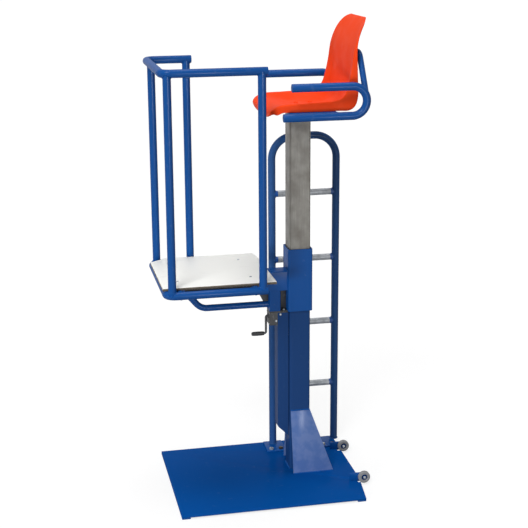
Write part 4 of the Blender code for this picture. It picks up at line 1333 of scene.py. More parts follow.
@dataclass
class Ladder:
    """The hoop of bent tube and its rungs."""

    bend: float = 0.100
    rim: float = 0.8 * MM
    rungs: int = 4
    stub: float = 10.0 * MM
    bead: float = 2.6 * MM

    def build(self) -> None:
        """Model and dress the ladder."""
        span = Span.of("ladder_hoop")
        radius = span.size.y / 2
        left, right = span.low.x + radius, span.high.x - radius
        y, top, foot = span.middle.y, span.high.z - radius, span.low.z
        corners = path((left, y, foot), (left, y, top), (right, y, top), (right, y, foot))
        hoop = bent_tube("ladder_hoop_tube", corners, self.bend, radius, self.rim)
        # The hoop and its welds take the lighter enamel: painted light on the ladder in the mast's shade.
        dress(hoop, Body.STAND, PAINTED_LIGHT_ENAMEL, "ladder_hoop")
        welds = self.rung_row(corners[0], corners[-1], radius)
        for place in (corners[0], corners[-1]):
            welds.append(ring_weld("upright_bead", place, Z, radius, flat_reach, self.bead))
        dress(joined("ladder_welds", welds), Body.STAND, PAINTED_LIGHT_ENAMEL)

    def rung_row(self, left: Vector, right: Vector, hoop_radius: float) -> list[Piece]:
        """Model one rung, coped to the hoop, and copy it to the others.

        Args:
            left: Foot of the hoop's left upright.
            right: Foot of its right upright.
            hoop_radius: Radius of the hoop's tube.

        Returns:
            The weld beads at the rungs' ends.
        """
        inset = hoop_radius + self.stub
        finish = OversprayedZinc(
            "zinc plate, oversprayed at the ends", "#a7abb0", 0.45, 0.4, worn="#8f9499",
            worn_at=Patches(24.0, 0.4, 0.7), left=left.x + inset, right=right.x - inset,
        )
        first = Span.of("ladder_rung_1")
        radius, height = first.size.z / 2, first.middle.z
        ends = [Vector((foot.x, foot.y, height)) for foot in (left, right)]
        pattern = straight_tube("rung_pattern", ends, radius)
        beads = []
        for end, axis in zip(ends, (X, -X)):
            reach = Z * 2 * hoop_radius
            cut_away(pattern, straight_tube("rung_cope", (end - reach, end + reach), hoop_radius))
            meeting = tube_reach(axis, Z, hoop_radius)
            beads.append(ring_weld("rung_bead", end, axis, radius, meeting, self.bead))
        nodes = numbered("ladder_rung", self.rungs)
        repeat(pattern, nodes, "tube", Body.STAND, finish)
        return spread(joined("rung_beads", beads), [Span.of(node).middle for node in nodes])


@dataclass
class TransportWheels:
    """Two small wheels at the plate's right edge, each between its lug and the head of its axle bolt."""

    hub_radius: float = 13.0 * MM
    hub_rim: float = 2.0 * MM
    hub_web: float = 3.0 * MM
    bore: float = 4.5 * MM
    groove: float = 0.9 * MM
    groove_floor: float = 0.5 * MM
    shoulder: float = 4.0 * MM
    lug_edge: float = 0.7 * MM
    head_height: float = 4.0 * MM
    socket: tuple[float, float] = (2.5 * MM, 2.0 * MM)

    def build(self) -> None:
        """Model the near wheel with its lug and its axle bolt, and copy them to the far side."""
        nodes = Side.nodes("wheel")
        near = Span.of(nodes[0])
        places = [Span.of(node).middle for node in nodes]
        wheels = zip(nodes, spread(self.tyre(near), places), spread(self.hub(near), places))
        for node, tyre, hub in wheels:
            dress(named(tyre, f"{node}_tyre"), Body(node), TYRE, node)
            # The hubs take the darker enamel, which is painted shade.
            dress(named(hub, f"{node}_hub"), Body(node), PAINTED_SHADE_ENAMEL)
        lugs, axles = Side.nodes("wheel_lug"), Side.nodes("wheel_axle")
        repeat(self.lug(Span.of(lugs[0]), near), lugs, "plate", Body.STAND, BLUE)
        repeat(self.axle(Span.of(axles[0])), axles, "bolt", Body.STAND, PLATED)

    def tyre(self, wheel: Span) -> Piece:
        """The rubber tyre: round shoulders, and two grooves in its tread.

        Args:
            wheel: Span of the wheel.

        Returns:
            The tyre.
        """
        radius, half = wheel.size.x / 2, wheel.size.y / 2
        inner, rim, round_off = self.hub_radius, self.hub_rim, self.shoulder
        profile = [(inner, -half + rim), (inner, half - rim), (inner + rim, half)]
        profile += arc((radius - round_off, half - round_off), round_off, 90, 0, 6)
        mouth, floor = self.groove, self.groove_floor
        for groove in (half / 3, -half / 3):
            for across, depth in ((mouth, 0.0), (floor, self.groove), (-floor, self.groove), (-mouth, 0.0)):
                profile.append((radius - depth, groove + across))
        profile += arc((radius - round_off, round_off - half), round_off, 0, -90, 6)
        profile.append((inner + rim, -half))
        return turned("tyre_pattern", profile, Y, wheel.middle)

    def hub(self, wheel: Span) -> Piece:
        """The steel hub: a dished disc with a boss, painted like the frame.

        Args:
            wheel: Span of the wheel.

        Returns:
            The hub.
        """
        half = wheel.size.y / 2
        rim, web, boss = self.hub_radius - 0.1 * MM, self.hub_web, self.bore + 3.0 * MM
        face = [
            (self.bore, half), (boss, half), (boss + MM, web), (rim - 2 * MM, web),
            (rim - MM, half - 1.5 * MM), (rim, half - 2 * MM),
        ]
        profile = [(radius, -along) for radius, along in face] + face[::-1]
        return ease(turned("hub_pattern", profile, Y, wheel.middle), 0.3 * MM, 1)

    def lug(self, span: Span, wheel: Span) -> Piece:
        """The plate that holds the axle, with a round end and a hole.

        Args:
            span: Span of the lug.
            wheel: Span of the wheel.

        Returns:
            The lug.
        """
        x, z = wheel.middle.x, wheel.middle.z
        tip = arc((x, z), span.size.z / 2, -90, 90, 16)
        outline = [(span.low.x, span.high.z), (span.low.x, span.low.z), *tip]
        lug = plate("lug_pattern", upright(outline, span.low.y), Y * span.size.y)
        cut_away(lug, drill(Y, Vector((x, span.middle.y, z)), self.bore, -THROUGH, THROUGH, SMALL_FACETS))
        return ease(lug, self.lug_edge)

    def axle(self, span: Span) -> Piece:
        """The axle bolt: a domed head before the wheel, and its shank through the lug.

        Args:
            span: Span of the bolt.

        Returns:
            The bolt.
        """
        head, height, length = span.size.x / 2, self.head_height, span.size.y
        centre = Vector((span.middle.x, span.low.y, span.middle.z))
        angles = [math.radians(degrees) for degrees in range(0, 90, 15)]
        dome = [(head * math.cos(a), height * (1 - math.sin(a))) for a in angles]
        shank = self.bore - RUNNING_FIT
        profile = [(0.0, 0.0), *dome[::-1], (head, height), (shank, height), (shank, length), (0.0, length)]
        axle = turned("axle_pattern", profile, Y, centre)
        return cut_away(axle, hexagon_socket("axle_socket", centre, -Y, *self.socket))


@dataclass(frozen=True)
class Station:
    """One place along the middle of the seat shell, from the front lip over the pan and up the back."""

    x: float
    height: float
    width: float
    rim: float
    edge: float


@dataclass
class Seat:
    """The carrier plate, the looped arms, the back hoop and the moulded shell."""

    plate_corner: float = 5.0 * MM
    plate_edge: float = 0.8 * MM
    armrest_set_back: float = 0.034
    hoop_top: float = 0.281
    hoop_bend: float = 0.050
    shell_half_width: float = 0.200
    shell_wall: float = 4.5 * MM
    bolt_head: float = 4.0 * MM
    bolt_shank: float = 4.0 * MM
    bolt_socket: tuple[float, float] = (2.9 * MM, 2.2 * MM)
    bead: float = 2.8 * MM
    grid_along: int = 60
    grid_across: int = 44

    def build(self) -> None:
        """Model and dress every piece of the seat."""
        span = Span.of("seat_plate")
        low, high = span.low, span.high
        outline = level(rounded(low, high, self.plate_corner), low.z)
        carrier = plate("seat_plate_sheet", outline, Z * span.size.z, self.plate_edge)
        dress(carrier, Body.STAND, BLUE, "seat_plate")
        self.hoop(self.arms())
        self.shell()
        self.bolts()
        runs = [path((low.x, y, high.z), (high.x, y, high.z)) for y in (low.y, high.y)]
        seam_welds("seat_welds", runs, self.bead, Body.STAND)

    def arms(self) -> list[Piece]:
        """The arms, each one tube: armrest, round the back, and the lower run under the seat.

        Returns:
            The dressed arms.
        """
        nodes = Side.nodes("seat_arm")
        span = Span.of(nodes[0])
        radius, y = span.size.y / 2, span.middle.y
        upper, lower, rear = span.high.z - radius, span.low.z + radius, span.high.x - radius
        corners = path(
            (span.low.x + self.armrest_set_back, y, upper), (rear, y, upper), (rear, y, lower),
            (span.low.x, y, lower),
        )
        arm = bent_tube("arm_pattern", corners, (upper - lower) / 2, radius, TUBE_RIM)
        return repeat(arm, nodes, "tube", Body.STAND, BLUE)

    def hoop(self, arms: Sequence[Piece]) -> None:
        """The back hoop, coped to both arms.

        Args:
            arms: The two arms.
        """
        span, arm = Span.of("seat_back_hoop"), Span.of("seat_arm_near")
        radius = span.size.x / 2
        x, middle = span.middle.x, span.middle.y
        reach = middle - arm.middle.y
        bend = (arm.size.z - arm.size.y) / 2
        setback = arm.high.x - arm.size.y / 2 - x
        start = arm.middle.z + math.sqrt(bend ** 2 - (bend - setback) ** 2)
        top, half = span.high.z - radius, self.hoop_top / 2
        corners = path(
            (x, middle - reach, start), (x, middle - half, top), (x, middle + half, top),
            (x, middle + reach, start),
        )
        hoop = bent_tube("seat_back_hoop_tube", corners, self.hoop_bend, radius, 0.0)
        cut_away(hoop, *arms, keep_tools=True)
        dress(hoop, Body.STAND, BLUE, "seat_back_hoop")

    def stations(self) -> list[Station]:
        """The shell's middle line, with its width, the rise of its rim and the depth of its turned edge."""
        return [
            Station(-0.148, -0.036, 0.36, 0.000, 0.000),
            Station(-0.154, -0.027, 0.66, 0.000, 0.005),
            Station(-0.156, -0.012, 0.86, 0.001, 0.015),
            Station(-0.151, 0.000, 0.93, 0.002, 0.025),
            Station(-0.136, 0.010, 0.97, 0.005, 0.030),
            Station(-0.105, 0.015, 0.99, 0.012, 0.031),
            Station(-0.055, 0.008, 1.00, 0.022, 0.034),
            Station(-0.010, 0.000, 1.00, 0.031, 0.035),
            Station(0.080, 0.000, 1.00, 0.034, 0.038),
            Station(0.124, 0.006, 1.00, 0.034, 0.044),
            Station(0.155, 0.026, 1.00, 0.030, 0.064),
            Station(0.172, 0.060, 1.00, 0.022, 0.052),
            Station(0.183, 0.110, 0.99, 0.018, 0.035),
            Station(0.188, 0.170, 0.98, 0.011, 0.021),
            Station(0.191, 0.240, 0.96, 0.004, 0.010),
            Station(0.213, 0.300, 0.90, 0.004, 0.002),
            Station(0.238, 0.340, 0.76, 0.003, 0.002),
            Station(0.255, 0.357, 0.52, 0.001, 0.002),
        ]

    @staticmethod
    def smooth(values: Sequence[float], place: float) -> float:
        """Read a smooth curve through evenly spaced values.

        Args:
            values: Values that the curve goes through.
            place: Where it is read, from 0 to 1.

        Returns:
            The curve's value there.
        """
        last = len(values) - 1
        at = min(max(place, 0.0), 1.0) * last
        left = min(int(at), last - 1)
        share = at - left
        before, after = values[max(left - 1, 0)], values[min(left + 2, last)]
        first, second = values[left], values[left + 1]
        lean = (second - before) / 2
        lean_after = (after - first) / 2
        drop = first - second
        cubic = 2 * drop + lean + lean_after
        square = -3 * drop - 2 * lean - lean_after
        return ((cubic * share + square) * share + lean) * share + first

    def shell(self) -> None:
        """The moulded shell: a grid laid over the stations, given a wall and smoothed."""
        mast = Span.of("mast").middle
        pan_top = Span.of("seat_plate").high.z + self.shell_wall + CLOSE_FIT
        stations = self.stations()
        keys = ("x", "height", "width", "rim", "edge")
        columns = {key: [getattr(station, key) for station in stations] for key in keys}
        # From the middle line to the edge: how far out, and the shares of the rim's rise and the turned edge
        across = (0.0, 0.30, 0.52, 0.70, 0.84, 0.94, 0.985, 1.00, 1.01)
        lift = (0.0, 0.0, 0.04, 0.24, 0.66, 0.96, 1.0, 1.0, 1.0)
        fold = (0.0, 0.0, 0.0, 0.0, 0.0, 0.0, 0.06, 0.40, 1.0)

        def middle_line(place: float) -> Vector:
            """Point on the middle of the sitting side."""
            x = mast.x + self.smooth(columns["x"], place)
            return Vector((x, mast.y, pan_top + self.smooth(columns["height"], place)))

        deselect()
        bpy.ops.mesh.primitive_grid_add(
            x_subdivisions=self.grid_along, y_subdivisions=self.grid_across, size=2.0
        )
        shell = new_piece("seat_shell_moulding")
        step = 0.5 / self.grid_along
        for corner in shell.data.vertices:
            along, side = (corner.co.x + 1) / 2, math.copysign(1.0, corner.co.y)
            out = abs(corner.co.y)
            ahead = middle_line(min(along + step, 1.0)) - middle_line(max(along - step, 0.0))
            facing = ahead.cross(Y).normalized()
            half = self.shell_half_width * self.smooth(columns["width"], along)
            raised = self.smooth(columns["rim"], along) * self.smooth(lift, out)
            folded = self.smooth(columns["edge"], along) * self.smooth(fold, out)
            sideways = Y * (side * half * self.smooth(across, out))
            corner.co = middle_line(along) + sideways + facing * (raised - folded)
        finish_with(shell, "SOLIDIFY", thickness=self.shell_wall, offset=-1.0, use_even_offset=True)
        finish_with(shell, "SUBSURF", levels=1, render_levels=1)
        dress(shell, Body.STAND, ORANGE, "seat_shell")

    def bolts(self) -> None:
        """The four bolts of the shell: plated shanks, and heads capped in the shell's plastic."""
        first = Span.of("seat_bolt_1")
        head, height, shank = first.size.x / 2, self.bolt_head, self.bolt_shank
        seat = Vector((first.middle.x, first.middle.y, first.high.z - height))
        depth = seat.z - first.low.z
        angles = [math.radians(degrees) for degrees in range(0, 90, 10)]
        dome = [(head * math.cos(a), height * math.sin(a)) for a in angles]
        profile = [(0.0, -depth), (shank, -depth), (shank, 0.0), *dome, (0.0, height)]
        pattern = turned("seat_bolt_pattern", profile, Z, seat)
        cut_away(pattern, hexagon_socket("seat_bolt_socket", seat + Z * height, Z, *self.bolt_socket))
        part_finish(pattern, PLATED, ORANGE, lambda face: face.center.z > seat.z)
        repeat(pattern, numbered("seat_bolt", 4), "dome", Body.STAND, PLATED)


@dataclass
class Carriage:
    """The sleeve on the mast with its bushes, and the bracket and leg that carry the footboard."""

    sleeve_corner: float = 7.0 * MM
    sleeve_wall: float = 4.0 * MM
    leg_corner: float = 4.0 * MM
    leg_wall: float = 3.0 * MM
    sheet: float = 4.0 * MM
    arm_depth: float = 16.0 * MM
    web: float = 8.0 * MM
    web_foot: float = 23.0 * MM
    web_edge: float = 0.8 * MM
    bead: float = 2.6 * MM

    def build(self) -> None:
        """Model and dress the carriage."""
        sleeve, leg, bracket = (Span.of(f"carriage_{part}") for part in ("sleeve", "leg", "bracket"))
        tube = box_tube("carriage_sleeve_tube", sleeve, self.sleeve_corner, self.sleeve_wall)
        dress(tube, Body.CARRIAGE, BLUE, "carriage_sleeve")
        post = box_tube("carriage_leg_tube", leg, self.leg_corner, self.leg_wall)
        dress(post, Body.CARRIAGE, BLUE, "carriage_leg")
        for node in ("slide_bush_lower", "slide_bush_upper"):
            carry_over(node, BLACK)
        self.bracket(bracket, leg)
        edge, low, high = sleeve.low.x, bracket.low, bracket.high
        runs = [path((edge, y, low.z), (edge, y, high.z)) for y in (low.y, high.y)]
        runs.append(path((edge, low.y, high.z), (edge, high.y, high.z)))
        seam_welds("carriage_welds", runs, self.bead, Body.CARRIAGE)
        self.shade_webs(sleeve, leg, bracket)

    def shade_webs(self, sleeve: Span, leg: Span, bracket: Span) -> None:
        """A stiffening web in the carriage's middle, from sleeve to leg and from leg to brace and frame, made
        dark as painted shade for the gaps there that lie in shadow under the board.

        Args:
            sleeve: Span of the sleeve.
            leg: Span of the leg.
            bracket: Span of the bracket.
        """
        brace, cross = Span.of("platform_brace"), Span.of("platform_cross_right")
        ledge, roof = brace.low.z + brace.size.y, bracket.high.z - self.arm_depth
        foot, top = leg.low.z, cross.middle.z
        right = ((leg.high.x, foot), (sleeve.low.x, foot), (sleeve.low.x, roof), (leg.high.x, roof))
        left = ((leg.low.x - self.web_foot, ledge), (leg.low.x, ledge), (leg.low.x, top), (cross.high.x, top))
        y = leg.middle.y - self.web / 2
        plates = [plate("web", upright(side, y), Y * self.web, self.web_edge) for side in (right, left)]
        # Dark casting finish on the webs: painted shade for the shadowed gaps under the board.
        dress(joined("carriage_shade_webs", plates), Body.CARRIAGE, CASTING)

    def bracket(self, span: Span, leg: Span) -> None:
        """The folded bracket: its side view pushed across, its folds rounded, and hollowed from below.

        Args:
            span: Span of the bracket.
            leg: Span of the leg.
        """
        top, bottom = span.high.z, span.low.z
        outline = (
            (span.low.x, top), (span.high.x, top), (span.high.x, bottom), (leg.low.x, bottom),
            (span.low.x, top - self.arm_depth),
        )
        bracket = plate("carriage_bracket_sheet", upright(outline, span.low.y), Y * span.size.y)

        def top_fold(edge: bmesh.types.BMEdge) -> bool:
            """Whether an edge is one of the two folds along the bracket's top."""
            first, second = (corner.co for corner in edge.verts)
            return min(first.z, second.z) > top - MM and abs(first.x - second.x) > MM

        with editing(bracket):
            pick(bracket, Parts.EDGES, top_fold)
            bpy.ops.mesh.bevel(offset=self.sheet, segments=4, affect="EDGES")
        low = Vector((span.low.x - THROUGH, span.low.y + self.sheet, bottom - THROUGH))
        high = Vector((span.high.x + THROUGH, span.high.y - self.sheet, top - self.sheet))
        cross = Span.of("platform_cross_right")
        ends = [Vector((cross.middle.x, y, cross.middle.z)) for y in (cross.low.y, cross.high.y)]
        hollow = block("bracket_hollow", low, high, 1.0 * MM)
        cut_away(bracket, hollow, straight_tube("bracket_cope", ends, cross.size.x / 2))
        dress(ease(bracket, SAWN_EDGE, 1), Body.CARRIAGE, BLUE, "carriage_bracket")


@dataclass
class Footboard:
    """The tube frame with its cross tubes and brace, and the board that is screwed to it."""

    bend: float = 0.035
    brace_bend: float = 0.060
    brace_slope: float = math.radians(50.0)
    left_cut: tuple[float, float] = (0.071, 0.056)
    right_cut: tuple[float, float] = (0.010, 0.060)
    board_edge: float = 0.6 * MM
    shadow_strip_width: float = 4.0 * MM
    shadow_strip_depth: float = 7.0 * MM
    bead: float = 2.6 * MM

    def build(self) -> Piece:
        """Model and dress the footboard and its frame.

        Returns:
            The frame's tube, which the guard posts are coped to.
        """
        span = Span.of("platform_frame")
        radius = span.size.z / 2
        z, left, right = span.middle.z, span.low.x + radius, span.high.x
        near, far = span.low.y + radius, span.high.y - radius
        corners = path((right, near, z), (left, near, z), (left, far, z), (right, far, z))
        tube = bent_tube("platform_frame_tube", corners, self.bend, radius, TUBE_RIM)
        dress(tube, Body.CARRIAGE, BLUE, "platform_frame")
        nodes = left_and_right("platform_cross")
        x = Span.of(nodes[0]).middle.x
        ends = path((x, near, z), (x, far, z))
        cross = cut_away(straight_tube("cross_pattern", ends, radius), tube, keep_tools=True)
        repeat(cross, nodes, "tube", Body.CARRIAGE, BLUE)
        beads = []
        for end, axis in zip(ends, (Y, -Y)):
            meeting = tube_reach(axis, X, radius)
            beads.append(ring_weld("cross_bead", end, axis, radius, meeting, self.bead))
        welds = spread(joined("cross_beads", beads), [Span.of(node).middle for node in nodes])
        welds += self.brace(z, radius)
        self.board()
        self.screws()
        dress(joined("platform_welds", welds), Body.CARRIAGE, BLUE)
        return tube

    def brace(self, cross_z: float, cross_radius: float) -> list[Piece]:
        """The bent brace from the leg's foot up to the left cross tube.

        Args:
            cross_z: Height of the cross tube's centre line.
            cross_radius: Its radius.

        Returns:
            The weld beads at the brace's ends.
        """
        span, cross = Span.of("platform_brace"), Span.of("platform_cross_left")
        radius, x = span.size.y / 2, cross.middle.x
        y, z = span.middle.y, span.low.z + radius
        run = (cross_z - z) / math.tan(self.brace_slope)
        start, corner, end = path((span.high.x, y, z), (x + run, y, z), (x, y, cross_z))
        brace = bent_tube("platform_brace_tube", (start, corner, end), self.brace_bend, radius, 0.0)
        cope = path((x, cross.low.y, cross_z), (x, cross.high.y, cross_z))
        cut_away(brace, straight_tube("brace_cope", cope, cross_radius))
        dress(brace, Body.CARRIAGE, BLUE, "platform_brace")
        axis = (corner - end).normalized()
        return [
            ring_weld("brace_leg_bead", start, -X, radius, flat_reach, self.bead),
            ring_weld("brace_cross_bead", end, axis, radius, tube_reach(axis, Y, cross_radius), self.bead),
        ]

    def board(self) -> None:
        """The board: cut corners, white faces, plywood edges, and a black strip under its near edge that
        paints the shadow in the slit above the frame tube.
        """
        span = Span.of("footboard")
        low, high = span.low, span.high
        outline = (
            (low.x, low.y), (high.x, low.y), (high.x, high.y - self.right_cut[1]),
            (high.x - self.right_cut[0], high.y), (low.x + self.left_cut[0], high.y),
            (low.x, high.y - self.left_cut[1]),
        )
        board = plate("footboard_panel", level(outline, low.z), Z * span.size.z, self.board_edge)
        part_finish(board, BOARD_FACE, BOARD_EDGE, lambda face: abs(face.normal.z) <= 0.5)
        dress(board, Body.CARRIAGE, BOARD_FACE, "footboard")

        # Painted shadow: a black strip under the board's near edge fills the slit between the board and the
        # frame tube.
        left, right = Span.of("platform_cross_left").high.x, Span.of("platform_cross_right").low.x
        foot = Vector((left, low.y, low.z - self.shadow_strip_depth))
        head = Vector((right, low.y + self.shadow_strip_width, low.z))
        dress(block("footboard_shadow_strip", foot, head, self.board_edge), Body.CARRIAGE, BLACK)

    def screws(self) -> None:
        """The four screws that hold the board to the cross tubes."""
        first = Span.of("board_screw_1")
        top = Span.of("footboard").high.z
        seat = Vector((first.middle.x, first.middle.y, top))
        height, length = first.high.z - top, top - first.low.z
        pattern = screw_head("board_screw_pattern", seat, Z, first.size.x / 2, height, length)
        repeat(pattern, numbered("board_screw", 4), "pan", Body.CARRIAGE, PLATED)


@dataclass
class GuardRail:
    """The bent rail round the footboard and the posts that carry it."""

    bend: float = 0.035
    posts: int = 4
    far_end: float = -0.403
    bead: float = 2.6 * MM

    def build(self, platform: Piece) -> None:
        """Model and dress the rail and its posts.

        Args:
            platform: Tube of the footboard's frame, which the posts stand on.
        """
        span = Span.of("guard_rail")
        radius = span.size.z / 2
        z, left = span.middle.z, span.low.x + radius
        near, far = span.low.y + radius, span.high.y - radius
        far_end = Span.of("mast").middle.x + self.far_end
        corners = path((span.high.x, near, z), (left, near, z), (left, far, z), (far_end, far, z))
        rail = bent_tube("guard_rail_tube", corners, self.bend, radius, TUBE_RIM)
        dress(rail, Body.CARRIAGE, BLUE, "guard_rail")
        foot = Span.of("platform_frame").middle.z
        welds = []
        for node in numbered("guard_post", self.posts):
            place = Span.of(node).middle
            ends = path((place.x, place.y, foot), (place.x, place.y, z))
            post = cut_away(straight_tube(f"{node}_tube", ends, radius), platform, rail, keep_tools=True)
            dress(post, Body.CARRIAGE, BLUE, node)
            run = self.run_at(place, left, near, far)
            for end, axis in zip(ends, (Z, -Z)):
                meeting = tube_reach(axis, run, radius)
                welds.append(ring_weld("post_bead", end, axis, radius, meeting, self.bead))
        dress(joined("guard_rail_welds", welds), Body.CARRIAGE, BLUE)

    def run_at(self, place: Vector, left: float, near: float, far: float) -> Vector:
        """Direction of the rail over a post: straight, or along the bend of a corner.

        Args:
            place: Middle of the post.
            left: Place of the rail's left run.
            near: Place of its near run.
            far: Place of its far run.

        Returns:
            The direction, level and of unit length.
        """
        if place.x > left + self.bend:
            return X
        sign = 1 if place.y > (near + far) / 2 else -1
        edge = far if sign > 0 else near
        spoke = Vector((place.x - left - self.bend, place.y - edge + sign * self.bend, 0.0))
        return Z.cross(spoke).normalized()


@dataclass
class ScrewLift:
    """The hand crank, its gearbox, and the spindle in its guard."""

    guard_wall: float = 3.0 * MM
    guard_fold: float = 4.0 * MM
    guard_mitre: float = 0.047
    housing_edge: float = 2.5 * MM
    lid_edge: float = 0.6 * MM
    wall: float = 4.0 * MM
    crank_wall: float = 8.0 * MM
    spindle_bore: float = 11.5 * MM
    nut_edge: float = 1.2 * MM
    rod_radius: float = 5.0 * MM
    rod_bend: float = 8.5 * MM
    rod_rim: float = 0.8 * MM
    rod_facets: int = 28
    rivet_radius: float = 7.0 * MM
    rivet_head: float = 2.0 * MM
    boss_radius: float = 11.0 * MM
    boss_reach: float = 3.4 * MM
    boss_foot: float = 3.0 * MM
    bore_depth: float = 0.03
    lid_bolt: BoltSize = BoltSize(10 * MM, 5.5 * MM, 6 * MM, 8 * MM)
    lid_bolt_inset: float = 11.0 * MM
    side_bolt: BoltSize = BoltSize(8 * MM, 4.5 * MM, 5 * MM, 5 * MM)
    cheek_bolt_place: tuple[float, float] = (11.0 * MM, -6.0 * MM)
    casting_bolt_place: tuple[float, float] = (-7.0 * MM, 20.0 * MM)
    boss_screw: tuple[float, float, float] = (3.6 * MM, 2.2 * MM, 5 * MM)
    boss_screw_inset: float = 8.0 * MM
    boss_screw_rows: tuple[float, float] = (-30.0 * MM, 15.0 * MM)
    thread_pitch: float = 5.0 * MM
    thread_depth: float = 2.2 * MM
    thread_steps: int = 24
    journal: float = 7.0 * MM
    grip_groove: float = 0.5 * MM
    grip_grooves: int = 8
    grip_belly: float = 1.1 * MM
    grip_end: float = 2.4 * MM
    grip_steps: int = 48

    def build(self) -> None:
        """Model and dress the lift."""
        housing, guard = Span.of("gearbox_housing"), Span.of("spindle_guard")
        crank_z = Span.of("crank_rod").high.z - self.rod_radius
        self.guard(guard, housing)
        self.gearbox(housing, crank_z)
        self.bolts(housing, guard, crank_z)
        self.nut()
        self.spindle(housing)
        for node in ("spindle_gear", "crank_pinion"):
            carry_over(node, GREASED)
        self.crank(crank_z)
        self.grip()

    def guard(self, span: Span, housing: Span) -> None:
        """The folded channel round the spindle, with a slanted foot and a window for the gearbox.

        Args:
            span: Span of the guard.
            housing: Span of the gearbox's housing.
        """
        wall, fold = self.guard_wall, self.guard_fold
        left, right, near, far = span.low.x, span.high.x, span.low.y, span.high.y
        outline = [
            (right, near), (right, near + wall), (left + wall, near + wall), (left + wall, far - wall),
            (right, far - wall), (right, far),
        ]
        outline += arc((left + fold, far - fold), fold, 90, 180, 5)
        outline += arc((left + fold, near + fold), fold, 180, 270, 5)
        low = span.low.z + self.guard_mitre
        guard = plate("spindle_guard_channel", level(outline, low), Z * (span.high.z - low))
        for corner in guard.data.vertices:
            if corner.co.z < low + MM:
                corner.co.z -= (corner.co.x - left) / span.size.x * self.guard_mitre
        window_low = Vector((left - THROUGH, near + wall, housing.low.z - RUNNING_FIT))
        window_high = Vector((left + 2 * wall, far - wall, span.high.z + THROUGH))
        cut_away(guard, block("guard_window", window_low, window_high))
        # The guard takes the darker enamel, which is painted shade.
        dress(ease(guard, SAWN_EDGE, 1), Body.CARRIAGE, PAINTED_SHADE_ENAMEL, "spindle_guard")

    def gearbox(self, span: Span, crank_z: float) -> None:
        """The cast housing, hollow and bored, with a boss round the crank's shaft, and its lid.

        Args:
            span: Span of the housing.
            crank_z: Height of the crank's shaft.
        """
        housing = block("gearbox_casting", span.low, span.high, self.housing_edge, 3)
        centre = Vector((span.low.x, span.middle.y, crank_z))
        radius, reach, foot = self.boss_radius, self.boss_reach, self.boss_foot
        profile = (
            (0.0, foot), (radius + 2 * MM, foot), (radius + 2 * MM, 0.0), (radius, -reach + MM),
            (radius - MM, -reach), (0.0, -reach),
        )
        boss = turned("gearbox_boss", profile, X, centre)
        finish_with(housing, "BOOLEAN", object=boss, operation="UNION", solver="EXACT")
        discard(boss)
        hollow_low = span.low + Vector((self.crank_wall, self.wall, self.wall))
        hollow_high = span.high + Vector((-self.wall, -self.wall, THROUGH))
        axis = Span.of("lift_spindle").middle
        cut_away(
            housing, block("gearbox_hollow", hollow_low, hollow_high),
            drill(Z, Vector((axis.x, axis.y, span.low.z)), self.spindle_bore, -THROUGH, self.bore_depth),
            drill(X, centre, self.rod_radius + RUNNING_FIT, -THROUGH, self.bore_depth),
        )
        dress(housing, Body.CARRIAGE, CASTING, "gearbox_housing")
        lid = Span.of("gearbox_lid")
        piece = block("gearbox_lid_plate", lid.low, lid.high, self.lid_edge)
        dress(piece, Body.CARRIAGE, CASTING, "gearbox_lid")

    def bolts(self, housing: Span, guard: Span, crank_z: float) -> None:
        """Bolts of the lid, of the guard's cheeks and the casting's sides, and screws beside the boss.

        Args:
            housing: Span of the gearbox's housing.
            guard: Span of the spindle's guard.
            crank_z: Height of the crank's shaft.
        """
        lid, inset = Span.of("gearbox_lid"), self.lid_bolt_inset
        x = (Span.of("carriage_leg").high.x + lid.high.x) / 2
        seats = path((x, lid.low.y + inset, lid.high.z), (x, lid.high.y - inset, lid.high.z))
        made = spread(hexagon_bolt("lid_bolt", seats[0], Z, self.lid_bolt), seats)
        (cheek_x, cheek_z), (casting_x, casting_z) = self.cheek_bolt_place, self.casting_bolt_place
        sides = ((guard.low.y, housing.low.y, -Y), (guard.high.y, housing.high.y, Y))
        for cheek, casting, outward in sides:
            on_guard = (guard.low.x + cheek_x, cheek, guard.high.z + cheek_z)
            on_casting = (guard.low.x + casting_x, casting, housing.low.z + casting_z)
            seats = path(on_guard, on_casting)
            made += spread(hexagon_bolt("side_bolt", seats[0], outward, self.side_bolt), seats)
        columns = (housing.low.y + self.boss_screw_inset, housing.high.y - self.boss_screw_inset)
        rows = [crank_z + row for row in self.boss_screw_rows]
        seats = [Vector((housing.low.x, y, z)) for y in columns for z in rows]
        made += spread(screw_head("boss_screw", seats[0], -X, *self.boss_screw), seats)
        dress(joined("gearbox_bolts", made), Body.CARRIAGE, PLATED)

    def nut(self) -> None:
        """The bronze-brown block on the mast that the spindle climbs in."""
        span, axis = Span.of("lift_nut"), Span.of("lift_spindle").middle
        nut = block("lift_nut_block", span.low, span.high, self.nut_edge)
        centre, reach = Vector((axis.x, axis.y, span.middle.z)), 2 * THROUGH
        cut_away(nut, drill(Z, centre, self.spindle_bore, -reach, reach))
        dress(nut, Body.STAND, GREASED, "lift_nut")

